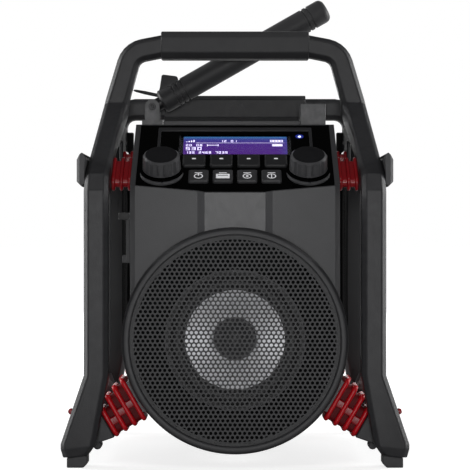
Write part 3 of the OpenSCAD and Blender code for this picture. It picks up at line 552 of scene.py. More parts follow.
# The key prints' white, with a faint glow added: painted light.
PRINT_PAINTED_GLOW = Glow("key_print_painted_glow", "key_plastic", (235, 235, 238), strength=0.35)
BOARD = Finish("board_solder_mask", "board", (20, 84, 48), 0.4)
STEEL = Turned(
    "steel_zinc", "steel", (176, 177, 180), 0.32, metallic=1.0, grain=0.5, grain_depth=0.01,
)
PIN = Finish(
    "pin_black_oxide", "steel", (34, 34, 36), 0.45, metallic=0.3, grain=0.5, grain_depth=0.01,
)
BASKET = Finish("basket_stamped", "basket_metal", (64, 64, 66), 0.45, metallic=0.6)
CONE = Turned(
    "cone_silver_coat", "cone_silver", (232, 232, 236), 0.55, metallic=0.25, grain=0.8,
    grain_depth=0.03, centre=(0, 0, SPEAKER_Z),
)
CAP = Turned(
    "cap_pressed_paper", "cap_black", (62, 62, 64), 0.5, grain=0.6, centre=(0, 0, SPEAKER_Z),
)
# Painted shade: a near-black for the plate over the housing's hinge lug, whose opening lies in
# shade.
HINGE_SHADE = Rubber("hinge_lug_painted_shade", "rubber_black", (15, 15, 16), 0.6, grain=0.8, dust=0.0)
SURROUND = Rubber("surround_rubber", "rubber_black", (38, 38, 40), 0.55)
FOAM = Finish(
    "foam_open", "rubber_black", (20, 20, 21), 0.9, specular=0.1, grain=1.6, grain_depth=0.3,
)
MAGNET = Finish("magnet_ferrite", "magnet", (52, 52, 56), 0.6)
BATTERY = Finish("battery_sleeve", "battery", (48, 62, 92), 0.4)


# ---- Hand tools ----


class Bench:
    """The hand tools that every sub-assembly shares. Lengths are in millimetres."""

    @staticmethod
    def clear() -> None:
        """Leaves edit mode and deselects everything."""
        if bpy.context.object is not None and bpy.context.object.mode != "OBJECT":
            bpy.ops.object.mode_set(mode="OBJECT")
        bpy.ops.object.select_all(action="DESELECT")

    @staticmethod
    def hold(piece: Piece) -> None:
        """Makes one piece the only selected and active one.

        Args:
            piece: The piece.
        """
        Bench.clear()
        piece.select_set(True)
        bpy.context.view_layer.objects.active = piece

    @staticmethod
    def edit(piece: Piece, mode: str = "VERT") -> None:
        """Opens a piece for editing with all of it selected.

        Args:
            piece: The piece.
            mode: VERT, EDGE or FACE.
        """
        Bench.hold(piece)
        bpy.ops.object.mode_set(mode="EDIT")
        bpy.ops.mesh.select_mode(type=mode)
        bpy.ops.mesh.select_all(action="SELECT")

    @staticmethod
    def shut() -> Piece:
        """Ends editing and returns the piece."""
        bpy.ops.object.mode_set(mode="OBJECT")
        return bpy.context.object

    @staticmethod
    def christen(name: str) -> Piece:
        """Names the active piece and its mesh.

        Args:
            name: The name.

        Returns:
            The piece.
        """
        piece = bpy.context.object
        piece.name = piece.data.name = name
        return piece

    @staticmethod
    def pick(piece: Piece, mode: str, test: Callable[[Vector, Vector], bool]) -> None:
        """Opens a piece with only some edges or faces selected.

        Args:
            piece: The piece.
            mode: EDGE or FACE.
            test: Says from the middle and the direction or normal whether one is picked.
        """
        Bench.edit(piece, mode)
        bpy.ops.mesh.select_all(action="DESELECT")
        Bench.shut()
        mesh = piece.data
        if mode == "FACE":
            for face in mesh.polygons:
                face.select = test(face.center, face.normal)
        else:
            for edge in mesh.edges:
                a, b = (mesh.vertices[i].co for i in edge.vertices)
                edge.select = test((a + b) / 2, (b - a).normalized())
        bpy.ops.object.mode_set(mode="EDIT")

    @staticmethod
    def modify(piece: Piece, kind: str, **settings: object) -> Piece:
        """Adds a modifier and applies it.

        Args:
            piece: The piece.
            kind: Blender's name of the modifier.
            settings: Its settings.

        Returns:
            The piece.
        """
        Bench.hold(piece)
        bpy.ops.object.modifier_add(type=kind)
        modifier = piece.modifiers[-1]
        for key, value in settings.items():
            setattr(modifier, key, value)
        bpy.ops.object.modifier_apply(modifier=modifier.name)
        return piece

    @staticmethod
    def mend(piece: Piece, gap: float = 0.001) -> Piece:
        """Merges doubled points and turns all faces outwards.

        Args:
            piece: The piece.
            gap: The distance below which points merge.

        Returns:
            The piece.
        """
        Bench.edit(piece)
        bpy.ops.mesh.remove_doubles(threshold=gap)
        bpy.ops.mesh.normals_make_consistent(inside=False)
        return Bench.shut()

    @staticmethod
    def smooth(piece: Piece, angle: float = 35) -> Piece:
        """Smooths shading below an angle.

        Args:
            piece: The piece.
            angle: The angle in degrees.

        Returns:
            The piece.
        """
        Bench.hold(piece)
        bpy.ops.object.shade_smooth_by_angle(angle=math.radians(angle))
        return piece

    @staticmethod
    def soften(piece: Piece, width: float, segments: int = 3, angle: float = 28) -> Piece:
        """Rounds all edges sharper than an angle and smooths the rest.

        Args:
            piece: The piece.
            width: Width of the rounding.
            segments: Steps across the rounding.
            angle: The angle in degrees.

        Returns:
            The piece.
        """
        limit = math.radians(angle)
        Bench.modify(
            piece, "BEVEL", width=width, segments=segments, limit_method="ANGLE", angle_limit=limit,
        )
        return Bench.smooth(piece, 40)

    @staticmethod
    def ease(piece: Piece, width: float, joints: list[tuple[Vector, Vector]]) -> Piece:
        """Rounds the sharp edges, apart from those in the planes where tubes meet.

        Args:
            piece: The piece.
            width: Width of the rounding.
            joints: A point and the normal of each plane.

        Returns:
            The piece.
        """
        Bench.edit(piece, "EDGE")
        bpy.ops.mesh.select_all(action="DESELECT")
        bpy.ops.mesh.edges_select_sharp(sharpness=math.radians(24))
        Bench.shut()
        mesh = piece.data
        chosen = set()
        for edge in mesh.edges:
            ends = [mesh.vertices[i].co for i in edge.vertices]
            flush = any(all(abs((end - at).dot(way)) < 0.1 for end in ends) for at, way in joints)
            if edge.select and not flush:
                chosen.add(edge.index)
        Bench.edit(piece, "EDGE")
        bpy.ops.mesh.select_all(action="DESELECT")
        Bench.shut()
        for index in chosen:
            mesh.edges[index].select = True
        bpy.ops.object.mode_set(mode="EDIT")
        bpy.ops.mesh.bevel(offset=width, segments=3)
        Bench.shut()
        return Bench.smooth(piece, 40)

    @staticmethod
    def outline(points: list[Vector], closed: bool) -> Piece:
        """Draws a row of points joined by edges, point by point.

        Args:
            points: The points.
            closed: Whether the last is joined to the first.

        Returns:
            A piece of edges only.
        """
        Bench.clear()
        bpy.ops.mesh.primitive_plane_add(size=1, location=(0, 0, 0))
        piece = bpy.context.object
        Bench.edit(piece)
        bpy.ops.mesh.merge(type="CENTER")
        bpy.ops.transform.translate(value=points[0])
        for before, after in zip(points, points[1:]):
            bpy.ops.mesh.extrude_region_move(TRANSFORM_OT_translate={"value": after - before})
        if closed:
            bpy.ops.mesh.select_all(action="DESELECT")
            Bench.shut()
            for vertex in (piece.data.vertices[0], piece.data.vertices[-1]):
                vertex.select = True
            bpy.ops.object.mode_set(mode="EDIT")
            bpy.ops.mesh.edge_face_add()
        Bench.shut()
        return piece

    @staticmethod
    def lathe(name: str, profile: list[Point], steps: int = 72, closed: bool = True) -> Piece:
        """Turns a profile about the local Z axis.

        Args:
            name: The piece's name.
            profile: Radius and height of each point.
            steps: Steps of the full turn.
            closed: Whether the profile is a closed section.

        Returns:
            The turned piece.
        """
        piece = Bench.outline([Vector((r, 0, h)) for r, h in profile], closed)
        Bench.edit(piece, "EDGE")
        bpy.ops.mesh.spin(steps=steps, angle=math.tau, center=(0, 0, 0), axis=(0, 0, 1))
        Bench.shut()
        Bench.mend(piece, 0.002)
        return Bench.smooth(Bench.christen(name), 32)

    @staticmethod
    def prism(name: str, points: list[Point], low: float, high: float, edge: float) -> Piece:
        """Extrudes an outline along the local Z axis.

        Args:
            name: The piece's name.
            points: The outline's corners.
            low: Height of its start.
            high: Height of its end.
            edge: Rounding of its edges.

        Returns:
            The piece.
        """
        piece = Bench.outline([Vector((x, y, low)) for x, y in points], True)
        Bench.edit(piece)
        bpy.ops.mesh.edge_face_add()
        bpy.ops.mesh.extrude_region_move(TRANSFORM_OT_translate={"value": (0, 0, high - low)})
        Bench.shut()
        Bench.mend(piece)
        return Bench.soften(Bench.christen(name), edge)

    @staticmethod
    def slab(
        name: str, size: tuple[float, float, float], corner: float, edge: float, steps: int = 5,
    ) -> Piece:
        """Makes a plate about the origin with round corners and soft edges.

        Args:
            name: The piece's name.
            size: Width, height and thickness.
            corner: Radius of the four corners.
            edge: Radius along the rims of both faces.
            steps: Segments of each rounding.

        Returns:
            The piece.
        """
        Bench.clear()
        bpy.ops.mesh.primitive_cube_add(size=1)
        piece = Bench.christen(name)
        piece.scale = size
        bpy.ops.object.transform_apply(location=False, rotation=False, scale=True)
        Bench.pick(piece, "EDGE", lambda middle, way: abs(way.z) > 0.9)
        bpy.ops.mesh.bevel(offset=corner, segments=steps)
        Bench.shut()
        if edge > 0:
            half = size[2] / 2
            Bench.pick(piece, "EDGE", lambda middle, way: abs(abs(middle.z) - half) < 1e-4)
            bpy.ops.mesh.bevel(offset=edge, segments=max(2, steps - 1))
            Bench.shut()
        return Bench.smooth(piece, 40)

    @staticmethod
    def shift(piece: Piece, matrix: Matrix) -> Piece:
        """Moves a piece's mesh, still in millimetres.

        Args:
            piece: The piece.
            matrix: Where it goes.

        Returns:
            The piece.
        """
        Bench.hold(piece)
        piece.matrix_world = matrix
        bpy.ops.object.transform_apply(location=True, rotation=True, scale=True)
        return piece

    @staticmethod
    def join(pieces: list[Piece], name: str) -> Piece:
        """Joins pieces into the first of them.

        Args:
            pieces: The pieces.
            name: The joined piece's name.

        Returns:
            The joined piece.
        """
        Bench.hold(pieces[0])
        for piece in pieces[1:]:
            piece.select_set(True)
        bpy.ops.object.join()
        return Bench.christen(name)

    @staticmethod
    def twin(piece: Piece, name: str, matrix: Matrix | None = None) -> Piece:
        """Copies a piece with its own mesh.

        Args:
            piece: The piece to copy.
            name: The copy's name.
            matrix: Where it goes, or None for the mirrored place on the other side.

        Returns:
            The copy.
        """
        copy = bpy.data.objects.new(name, piece.data.copy())
        copy.data.name = name
        bpy.context.scene.collection.objects.link(copy)
        copy.data.transform(matrix or Matrix.Scale(-1, 4, (1, 0, 0)))
        if matrix is None:
            Bench.edit(copy)
            bpy.ops.mesh.flip_normals()
            Bench.shut()
        return copy

    @staticmethod
    def traced(node: str, name: str, flat: float = 1.0) -> Piece:
        """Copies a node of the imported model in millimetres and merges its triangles.

        Args:
            node: The node.
            name: The copy's name.
            flat: Faces that meet below this angle become one.

        Returns:
            The copy.
        """
        mesh = frame["nodes"][node].data.copy()
        mesh.transform(Matrix.Scale(1000, 4))
        piece = bpy.data.objects.new(name, mesh)
        mesh.name = name
        mesh.materials.clear()
        bpy.context.scene.collection.objects.link(piece)
        Bench.hold(piece)
        if mesh.has_custom_normals:
            bpy.ops.mesh.customdata_custom_splitnormals_clear()
        Bench.edit(piece)
        bpy.ops.mesh.remove_doubles(threshold=0.004)
        bpy.ops.mesh.mark_sharp(clear=True)
        bpy.ops.mesh.dissolve_limited(angle_limit=math.radians(flat))
        Bench.shut()
        return Bench.smooth(piece, 30)


def fit(
    piece: Piece, finish: Finish, *nodes: str, body: str = "radio", place: Matrix | None = None,
) -> Piece:
    """Puts a finished piece on the radio.

    Args:
        piece: The piece, in millimetres.
        finish: What its surface is.
        nodes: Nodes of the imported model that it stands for.
        body: The body that it moves with.
        place: The frame it was modelled in.

    Returns:
        The piece.
    """
    Bench.shift(piece, Matrix.Scale(0.001, 4) @ (place or Matrix.Identity(4)))
    piece.data.materials.clear()
    piece.data.materials.append(finish.material())
    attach(piece, body)
    if nodes:
        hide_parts(*nodes)
    LOG.info("%s: %d faces on %s", piece.name, len(piece.data.polygons), body)
    return piece


def shade(piece: Piece, finish: Finish, test: Callable[[Vector], bool]) -> None:
    """Gives part of a placed piece another finish.

    Args:
        piece: The piece.
        finish: The other finish.
        test: Says from the middle of a face, in millimetres, whether it gets it.
    """
    piece.data.materials.append(finish.material())
    for face in piece.data.polygons:
        if test(face.center * 1000):
            face.material_index = len(piece.data.materials) - 1


# ---- Sub-assemblies ----


@dataclass
class Cage:
    """The roll cage: eight-sided legs, rails, bumpers and bars with rounded edges.

    The joints are a point and the normal of each plane in which tubes meet.
    """

    edge: float = 0.9
    bumper_edge: float = 1.6
    foot_edge: float = 0.8
    stub_r: float = 2.4
    stub_at: Place = (123.0, 9.5, 41.5)
    rib_x: float = 99.6
    rib_top: float = 213.0
    joints: tuple[tuple[Place, Place], ...] = (
        ((0, 0, 200), (0, 0, 1)),
        ((101.0, 47.5, 280.84), (0, 0.5446, 0.8387)),
        ((-80, 0, 0), (1, 0, 0)),
        ((80, 0, 0), (1, 0, 0)),
    )

    def build(self) -> None:
        """Makes all of the cage."""
        for side in Side:
            for part in ("front_leg", "rear_leg", "side_rail", "lower_rail"):
                self.tube(f"{part}_{side.value}")
            bumper = Bench.traced(f"side_bumper_{side.value}", f"bumper_shell_{side.value}", 3)
            fit(Bench.soften(bumper, self.bumper_edge, 3, 25), BUMPER, f"side_bumper_{side.value}")
            self.stub(side)
        self.tube("handle_hoop")
        self.tube("rear_bar")
        feet = Bench.traced("rubber_feet", "foot_pads")
        fit(Bench.soften(feet, self.foot_edge), RUBBER, "rubber_feet")

    def tube(self, node: str) -> None:
        """Gives one tube of the cage its round edges.

        Args:
            node: The tube's node.
        """
        piece = Bench.traced(node, f"{node}_shell", 3)
        joints = [(Vector(at), Vector(way)) for at, way in self.joints]
        fit(Bench.ease(piece, self.edge, joints), CAGE, node)
        if node.startswith("rear_leg"):
            # Painted shade on the inner faces of the rear legs, where shade falls between them and
            # the body.
            shade(piece, REAR_LEG_SHADE, lambda at: abs(at.x) < self.rib_x and at.z < self.rib_top)

    def stub(self, side: Side) -> None:
        """The red end of a damper's pin on the outer side of a front leg.

        Args:
            side: The leg's side.
        """
        r, s = self.stub_r, side.sign
        profile = [(0, 0), (r, 0), (r, 1.6), (r - 1.0, 3.0), (0, 3.2)]
        pin = Bench.lathe(f"damper_pin_{side.value}", profile, 32, False)
        way = axes((0, s, 0), (-0.36 * s, 0, 0.93), (0.93 * s, 0, 0.36))
        x, depth, z = self.stub_at
        # The pin end takes the same darker red that paints the damper shade.
        fit(pin, DARK_RED_PAINTED_SHADE, place=moved(x * s, depth, z) @ way)


@dataclass
class Handle:
    """The rubber grip on the handle bar and the pad on the rear bar."""

    edge: float = 1.4
    pad_edge: float = 1.0

    def build(self) -> None:
        """Makes the grip and the pad."""
        grip = Bench.traced("handle_grip", "grip_sleeve")
        fit(Bench.soften(grip, self.edge, 4, 25), RUBBER, "handle_grip")
        pad = Bench.traced("rear_bar_pad", "rear_pad")
        fit(Bench.soften(pad, self.pad_edge, 3, 25), RUBBER, "rear_bar_pad")


@dataclass
class Dampers:
    """The red rubber bellows between the body and the cage."""

    start: float = 88.8
    pitch: float = 8.1
    fin: float = 3.7
    width: float = 30.0
    low: float = -19.5
    lengths: tuple[float, ...] = (37.5, 35.8, 32.5, 26.0)
    front: float = 22.3
    rear: float = 172.0
    corner: float = 5.0
    body_side: float = 80.2
    room: float = 15.2
    slack: float = 0.3
    lip: float = 0.8
    heart: float = 3.0

    def build(self) -> None:
        """Makes all eight dampers."""
        right = self.bellows("damper_right")
        rear = [Bench.twin(right, "rear_right", shifted(0, self.rear - self.front, 0))]
        left = Bench.twin(right, "damper_left")
        rear.append(Bench.twin(rear[0], "rear_left"))
        both = Bench.join(rear, "damper_rear_pair")
        pairs = (
            (right, "damper_lower_right"), (left, "damper_lower_left"), (both, "damper_rear_lower"),
        )
        for piece, node in pairs:
            fit(piece, RED, node)
            # Painted shade: the faces between the fins get darker copies of the red, and the deeper
            # in the groove, the darker.
            shade(piece, DARK_RED_PAINTED_SHADE, lambda at: self.groove(at, self.lip))
            shade(piece, RED_GROOVE_SHADE, lambda at: self.groove(at, self.heart))
        upper = self.upright("damper_upper_fins_right", Vector((30, 217.25)), 36, 12, 35.5)
        other = Bench.twin(upper, "damper_upper_fins_left")
        # The upper dampers take the darker red that paints the shade falling on them from the
        # rails.
        fit(upper, DARK_RED_PAINTED_SHADE, "damper_upper_right")
        fit(other, DARK_RED_PAINTED_SHADE, "damper_upper_left")
        back = self.upright("damper_rear_fins", Vector((164, 247)), 36, 18, 0)
        fit(
            Bench.join([back, Bench.twin(back, "other")], "damper_rear_fins"), DARK_RED_PAINTED_SHADE,
            "damper_rear_upper",
        )

    def groove(self, at: Vector, deep: float) -> bool:
        """Whether a point of a lower damper lies between its fins.

        Args:
            at: The point in millimetres.
            deep: How far inside the ends of the fins it lies at least.

        Returns:
            Whether it does.
        """
        along = (DAMPER.inverted() @ Vector((abs(at.x), at.y, at.z))).x - self.start
        depth = at.y + HALF_DEPTH - (self.front if at.y < 0 else self.rear)
        between = self.fin + self.slack < along % self.pitch < self.pitch - self.slack
        return between and deep < depth < self.width - deep

    def bellows(self, name: str) -> Piece:
        """Makes the stack of fins of a right-hand lower damper.

        Args:
            name: The piece's name.

        Returns:
            The placed piece.
        """
        turn = axes((0, 1, 0), (0, 0, 1), (1, 0, 0))
        middle = -self.front - self.width / 2
        pieces = []
        for i, length in enumerate(self.lengths):
            piece = Bench.slab(f"fin_{i}", (length, self.width, self.fin), self.corner, 1.8)
            x = self.start + self.fin / 2 + i * self.pitch
            pieces.append(Bench.shift(piece, shifted(x, self.low + length / 2, middle) @ turn))
        groove = self.pitch - self.fin
        for i, length in enumerate(self.lengths[1:]):
            core = Bench.slab("core", (length - 4, self.width - 13, groove + 1), 4.0, 0)
            web = Bench.slab("web", (6.5, self.width - 2.6, groove + 1), 1.2, 0)
            x = self.start + self.fin + groove / 2 + i * self.pitch
            for piece, drop in ((core, 0.5), (web, 1)):
                place = shifted(x, self.low + length / 2 - drop, middle)
                pieces.append(Bench.shift(piece, place @ turn))
        return Bench.shift(Bench.join(pieces, name), DAMPER)

    def upright(self, name: str, at: Vector, length: float, height: float, angle: float) -> Piece:
        """Three upright fins between the body's side and a rail.

        Args:
            name: The piece's name.
            at: Depth and height of the outline's upper corner.
            length: Length of the fins.
            height: Height of the fins.
            angle: Their slope.

        Returns:
            The placed piece, on the right.
        """
        c, s = math.cos(math.radians(angle)), math.sin(math.radians(angle))
        turn = axes((0, c, s), (0, -s, c), (1, 0, 0))
        thick = self.room / 5 * 0.9
        step = (self.room - thick) / 2
        depth = at.x + c * length / 2 + s * height / 2
        z = at.y + s * length / 2 - c * height / 2
        pieces = []
        for i in range(3):
            piece = Bench.slab(f"upright_{i}", (length, height, thick), self.corner, 1.2)
            x = self.body_side + i * step + thick / 2
            pieces.append(Bench.shift(piece, moved(x, depth, z) @ turn))
        core = Bench.slab("core", (length - 5.2, height - 5.2, self.room - 0.4), 3.0, 0)
        pieces.append(Bench.shift(core, moved(self.body_side + self.room / 2, depth, z) @ turn))
        return Bench.join(pieces, name)


@dataclass
class Loudspeaker:
    """The ring, the perforated grille and the driver that shows through it."""

    ring_r: float = 85.5
    grille_r: float = 79.6
    grille_y: float = 4.9
    pitch: float = 3.65
    hole: float = 1.32
    rim: float = 0.6
    trim: float = 0.1
    steel: float = 1.3
    post_y: float = 20.4
    posts: tuple[Point, ...] = (
        (-50.3, 154.3), (46.3, 156.2), (-68.7, 125.9), (-41.7, 37.1), (41.4, 37.1),
    )

    def build(self) -> None:
        """Makes all of the loudspeaker's front."""
        g, r = self.grille_r, self.ring_r
        ring = [
            (g - 3, 6.5), (g, 6.5), (g, 3.4), (g + 0.2, 2.3), (g + 1.0, 1.6), (g + 2, 1.5),
            (r - 3, 1.5), (r - 2, 1.8), (r - 0.4, 4.0), (r, 5.6), (r, 22), (g - 3, 22),
        ]
        fit(Bench.lathe("ring_shell", ring, 144), RING, "speaker_ring", place=SPEAKER)
        front = moved(0, self.grille_y, SPEAKER_Z) @ FRONTAL
        fit(self.grille(), GRILLE, "speaker_grille", place=front)
        self.driver()
        for i, (x, z) in enumerate(self.posts):
            post = Bench.lathe(
                f"grille_post_{i + 1}", [(2.6, 0), (4.4, 0), (4.4, 2.2), (2.6, 2.2)], 24,
            )
            fit(post, GLOSS, place=moved(x, self.post_y, z) @ turned_about("X", -90))

    def grille(self) -> Piece:
        """The perforated steel disc: one cell is modelled and repeated over the disc.

        Returns:
            The disc, facing up about its centre.
        """
        Bench.clear()
        bpy.ops.mesh.primitive_circle_add(vertices=12, radius=self.hole)
        cell = Bench.christen("grille_disc")
        Bench.edit(cell, "EDGE")
        bpy.ops.mesh.extrude_region_move(TRANSFORM_OT_translate={"value": (0, 0, 0)})
        corner = self.pitch / math.sqrt(3)
        bpy.ops.transform.resize(value=(corner / self.hole,) * 3)
        Bench.shut()
        for vertex in cell.data.vertices:
            angle = math.degrees(math.atan2(vertex.co.y, vertex.co.x)) % 60
            if vertex.co.length > self.hole * 1.2 and (angle < 5 or angle > 55):
                vertex.co *= math.sqrt(3) / 2
        row = self.pitch * math.sqrt(3) / 2
        odd = Bench.twin(cell, "odd_row", shifted(self.pitch / 2, row, 0))
        cell = Bench.join([cell, odd], "grille_disc")
        reach = self.grille_r
        columns, rows = math.ceil(reach / self.pitch), math.ceil(reach / row / 2)
        Bench.shift(cell, shifted(-columns * self.pitch, -rows * 2 * row, 0))
        for count, step in ((2 * columns + 1, (self.pitch, 0, 0)), (2 * rows + 1, (0, 2 * row, 0))):
            Bench.modify(
                cell, "ARRAY", count=count, use_relative_offset=False,
                use_constant_offset=True, constant_offset_displace=step,
            )

        def outside(middle: Vector, normal: Vector) -> bool:
            """Whether a face belongs to a cell whose centre lies at or past the rim.

            Args:
                middle: The face's middle.
                normal: The face's normal, which doesn't matter here.

            Returns:
                Whether it does.
            """
            j = round(middle.y / row)
            i = round(middle.x / self.pitch - (j % 2) / 2)
            best = min(
                (math.hypot(middle.x - x, middle.y - y), math.hypot(x, y))
                for b in (j - 1, j, j + 1) for a in (i - 1, i, i + 1)
                for x, y in [((a + (b % 2) / 2) * self.pitch, b * row)]
            )
            return best[1] > reach - self.rim

        Bench.pick(cell, "FACE", outside)
        bpy.ops.mesh.delete(type="FACE")
        bpy.ops.mesh.select_all(action="SELECT")
        bpy.ops.mesh.remove_doubles(threshold=0.02)
        Bench.shut()
        for vertex in cell.data.vertices:
            if vertex.co.length > reach - self.trim:
                vertex.co *= (reach - self.trim) / vertex.co.length
        Bench.edit(cell)
        bpy.ops.mesh.dissolve_degenerate(threshold=0.03)
        bpy.ops.mesh.select_all(action="SELECT")
        bpy.ops.mesh.normals_make_consistent(inside=False)
        Bench.shut()
        inwards = -1 if cell.data.polygons[0].normal.z > 0 else 1
        return Bench.modify(cell, "SOLIDIFY", thickness=self.steel, offset=inwards)

    def driver(self) -> None:
        """The surround, cone, dust cap and the foam ring between the driver and the grille."""
        foam = [(53.6, 17.9), (54.4, 17.2), (78.4, 17.2), (78.8, 17.6), (78.8, 18.4), (53.6, 18.4)]
        fit(Bench.lathe("foam_ring", foam, 96), FOAM, place=SPEAKER)
        roll = arc(43.7, 19, 5, range(0, -181, -15))
        under = arc(43.7, 19, 4.2, range(-180, 1, 30))
        skirt = [(52.4, 19.2), (52.4, 18.0), (49.8, 18.0), (49.2, 18.6)]
        inner = [(38.0, 19.4), (38.0, 20.3)]
        surround = Bench.lathe("surround_roll", skirt + roll + inner + under, 96)
        fit(surround, SURROUND, "speaker_surround", place=SPEAKER)
        cone = [
            (39.4, 19.8), (38.4, 19.4), (32, 23.6), (25, 28.6), (19, 33.2), (13.5, 36),
            (13.5, 50), (14.5, 50), (14.5, 37), (20, 34.2), (33, 24.8),
        ]
        fit(Bench.lathe("cone_shell", cone, 96), CONE, "speaker_cone", place=SPEAKER)
        turns = [math.radians(a) for a in range(6, 49, 6)]
        dome = [(22 * math.sin(a), 48.6 - 22 * math.cos(a)) for a in turns]
        cap = [(0.0, 26.6), *dome, (16.7, 34.6), (15.6, 34.8)]
        fit(Bench.lathe("dust_cap_dome", cap, 64, False), CAP, "speaker_dust_cap", place=SPEAKER)


@dataclass
class ControlPanel:
    """The sloped panel: collars, frame, lens, lit display, keys and knobs."""

    knob_x: float = 56.5
    knob_s: float = 20.3
    led: Point = (51.6, 76.0)
    collar_r: float = 16.7
    collar_drop: float = 3.1
    slim: Place = (0.955, 0.955, 0.94)
    mark_rise: float = 2.22
    key_edge: float = 0.35
    preset_pitch: float = 21.3
    preset_s: float = 35.9
    function_pitch: float = 18.7
    function_s: float = 12.7

    def build(self) -> None:
        """Makes the panel's pieces."""
        self.knob(Side.LEFT, "volume_control", "volume_knob")
        self.knob(Side.RIGHT, "tuning_control", "tuning_knob")
        self.bezel()
        self.display()
        for i in range(4):
            self.preset(i + 1)
            self.function(i + 1)

    def knob(self, side: Side, body: str, node: str) -> None:
        """One fluted knob with its dished cap, and the collar it stands in.

        Args:
            side: The side it is on.
            body: The body that it turns with.
            node: The knob's node.
        """
        piece = Bench.traced(node, f"{node}_fluted", 2)
        middle = PANEL @ shifted(self.knob_x * side.sign, self.knob_s, 0)
        slim = Matrix.Diagonal((*self.slim, 1))
        piece.data.transform(middle @ slim @ middle.inverted())
        fit(Bench.soften(piece, 0.45, 2, 20), KNOB, node, body=body)
        dish = [
            (0, 15.95), (3, 15.8), (8, 15.95), (11.7, 16.25), (12.2, 16.1), (12.3, 15.6), (0, 15.5),
        ]
        # The dished top takes the darker copy of the knob's plastic: painted shade.
        fit(Bench.lathe(f"{node}_cap", dish, 48, False), KNOB_TOP_SHADE, body=body, place=middle)
        r = self.collar_r
        rim = [(r - 2.7, 0.1), (r - 2.7, 1.5), (r - 2.3, 1.9), (r - 0.7, 1.9), (r, 1.3), (r, 0.1)]
        collar = Bench.lathe(f"{node}_collar", rim, 64)
        Bench.pick(collar, "FACE", lambda at, n: abs(at.x - 1) < 0.9 and at.y < 0 and at.z > 0.9)
        bpy.ops.mesh.delete(type="FACE")
        Bench.shut()
        fit(collar, COLLAR, place=middle @ shifted(0, -self.collar_drop, 0))

    def bezel(self) -> None:
        """The raised frame round the display, open at the knobs."""
        w, low, high, t, band = 61.5, 37.5, 89.0, 2.2, 5.2
        top = high - band
        points = [
            (-w, low), (-w, high), (w, high), (w, low), (w - t, low), (w - t, top), (t - w, top),
            (t - w, low),
        ]
        frame_piece = Bench.prism("panel_bezel", points, -0.4, 1.1, 0.5)
        # The frame's grey paints the highlight along its edges.
        fit(frame_piece, BEZEL_HIGHLIGHT, place=PANEL)
        # Painted glow of the status lamp on the panel round it.
        halo = Bench.lathe(
            "status_halo_ring", [(1.7, 0.02), (1.7, 0.1), (3.2, 0.1), (3.2, 0.02)], 32,
        )
        fit(halo, HALO, place=PANEL @ shifted(*self.led, 0))

    def display(self) -> None:
        """The lit display under its lens, with plain figures and marks."""
        s, w, h = 62.9, 86.0, 29.6
        mask = Bench.slab("display_mask", (w + 1, h + 1, 0.5), 0.8, 0.1, 2)
        fit(mask, GLOSS, place=PANEL @ shifted(0, s, -1.7))
        screen = Bench.slab("display_screen", (82.4, 27.6, 0.3), 0.8, 0.05, 2)
        fit(screen, LCD, place=PANEL @ shifted(0.2, s + 0.9, -1.5))
        rows = (
            ("12 01", -11.6, 6.0, 1.9, 3.2),
            ("20 08", -39, -0.4, 1.9, 3.2),
            ("530", -39, -6.6, 3.2, 4.8),
            ("135 2468 7035", -39, -12.0, 1.8, 3.4),
        )
        marks = [
            self.digits(text, Vector((x, s + y)), wide, high) for text, x, y, wide, high in rows
        ]
        bars = [(-39 + 1.9 * i, s + 6.0, 1.1, 1.0 + 0.8 * i) for i in range(4)]
        bars += [(28, s + 6.2, 10, 0.8), (28, s + 8.6, 10, 0.8)]
        bars += [(28, s + 6.2, 0.8, 3.2), (37.4, s + 6.2, 0.8, 3.2)]
        bars += [(29.8 + 2.4 * i, s + 7.2, 1.6, 1.2) for i in range(3)]
        bars += [(29.5, s - 0.6, 8.3, 3.4), (-22.3, s + 0.8, 9.3, 0.8)]
        bars += [(-22.3, s - 0.4, 0.8, 2.8), (-13.8, s - 0.4, 0.8, 2.8), (-31, s + 4.6, 70, 0.3)]
        marks += [self.bar(*b) for b in bars]
        fit(Bench.join(marks, "display_marks"), GLYPH, place=PANEL @ shifted(0, 0, -1.3))
        lens = Bench.traced("display_lens", "display_window")
        fit(Bench.soften(lens, 0.2, 2), LENS, "display_lens")

    @staticmethod
    def bar(x: float, y: float, w: float, h: float) -> Piece:
        """Makes a thin flat bar.

        Args:
            x: Its left side.
            y: Its lower side.
            w: Its width.
            h: Its height.

        Returns:
            The bar.
        """
        Bench.clear()
        bpy.ops.mesh.primitive_cube_add(
            size=1, location=(x + w / 2, y + h / 2, 0), scale=(w, h, 0.06),
        )
        piece = Bench.christen("bar")
        bpy.ops.object.transform_apply(location=True, rotation=True, scale=True)
        return piece

    @staticmethod
    def digits(text: str, at: Vector, width: float, height: float) -> Piece:
        """Makes a row of seven-segment figures, joined.

        Args:
            text: The figures, with blanks between groups.
            at: The row's lower left corner.
            width: Width of a figure.
            height: Height of a figure.

        Returns:
            The row.
        """
        lit = {
            "0": "abcdef", "1": "bc", "2": "abdeg", "3": "abcdg", "4": "bcfg",
            "5": "acdfg", "6": "acdefg", "7": "abc", "8": "abcdefg", "9": "abcdfg",
        }
        t = height * 0.16
        half = height / 2
        where = {
            "a": (0, height - t, width, t), "d": (0, 0, width, t), "g": (0, half - t / 2, width, t),
            "b": (width - t, half, t, half), "c": (width - t, 0, t, half), "e": (
                0, 0, t, half,
            ), "f": (0, half, t, half),
        }
        pieces = []
        for i, figure in enumerate(text):
            for segment in lit.get(figure, ""):
                x, y, w, h = where[segment]
                pieces.append(ControlPanel.bar(at.x + i * width * 1.45 + x, at.y + y, w, h))
        return Bench.join(pieces, "digits")

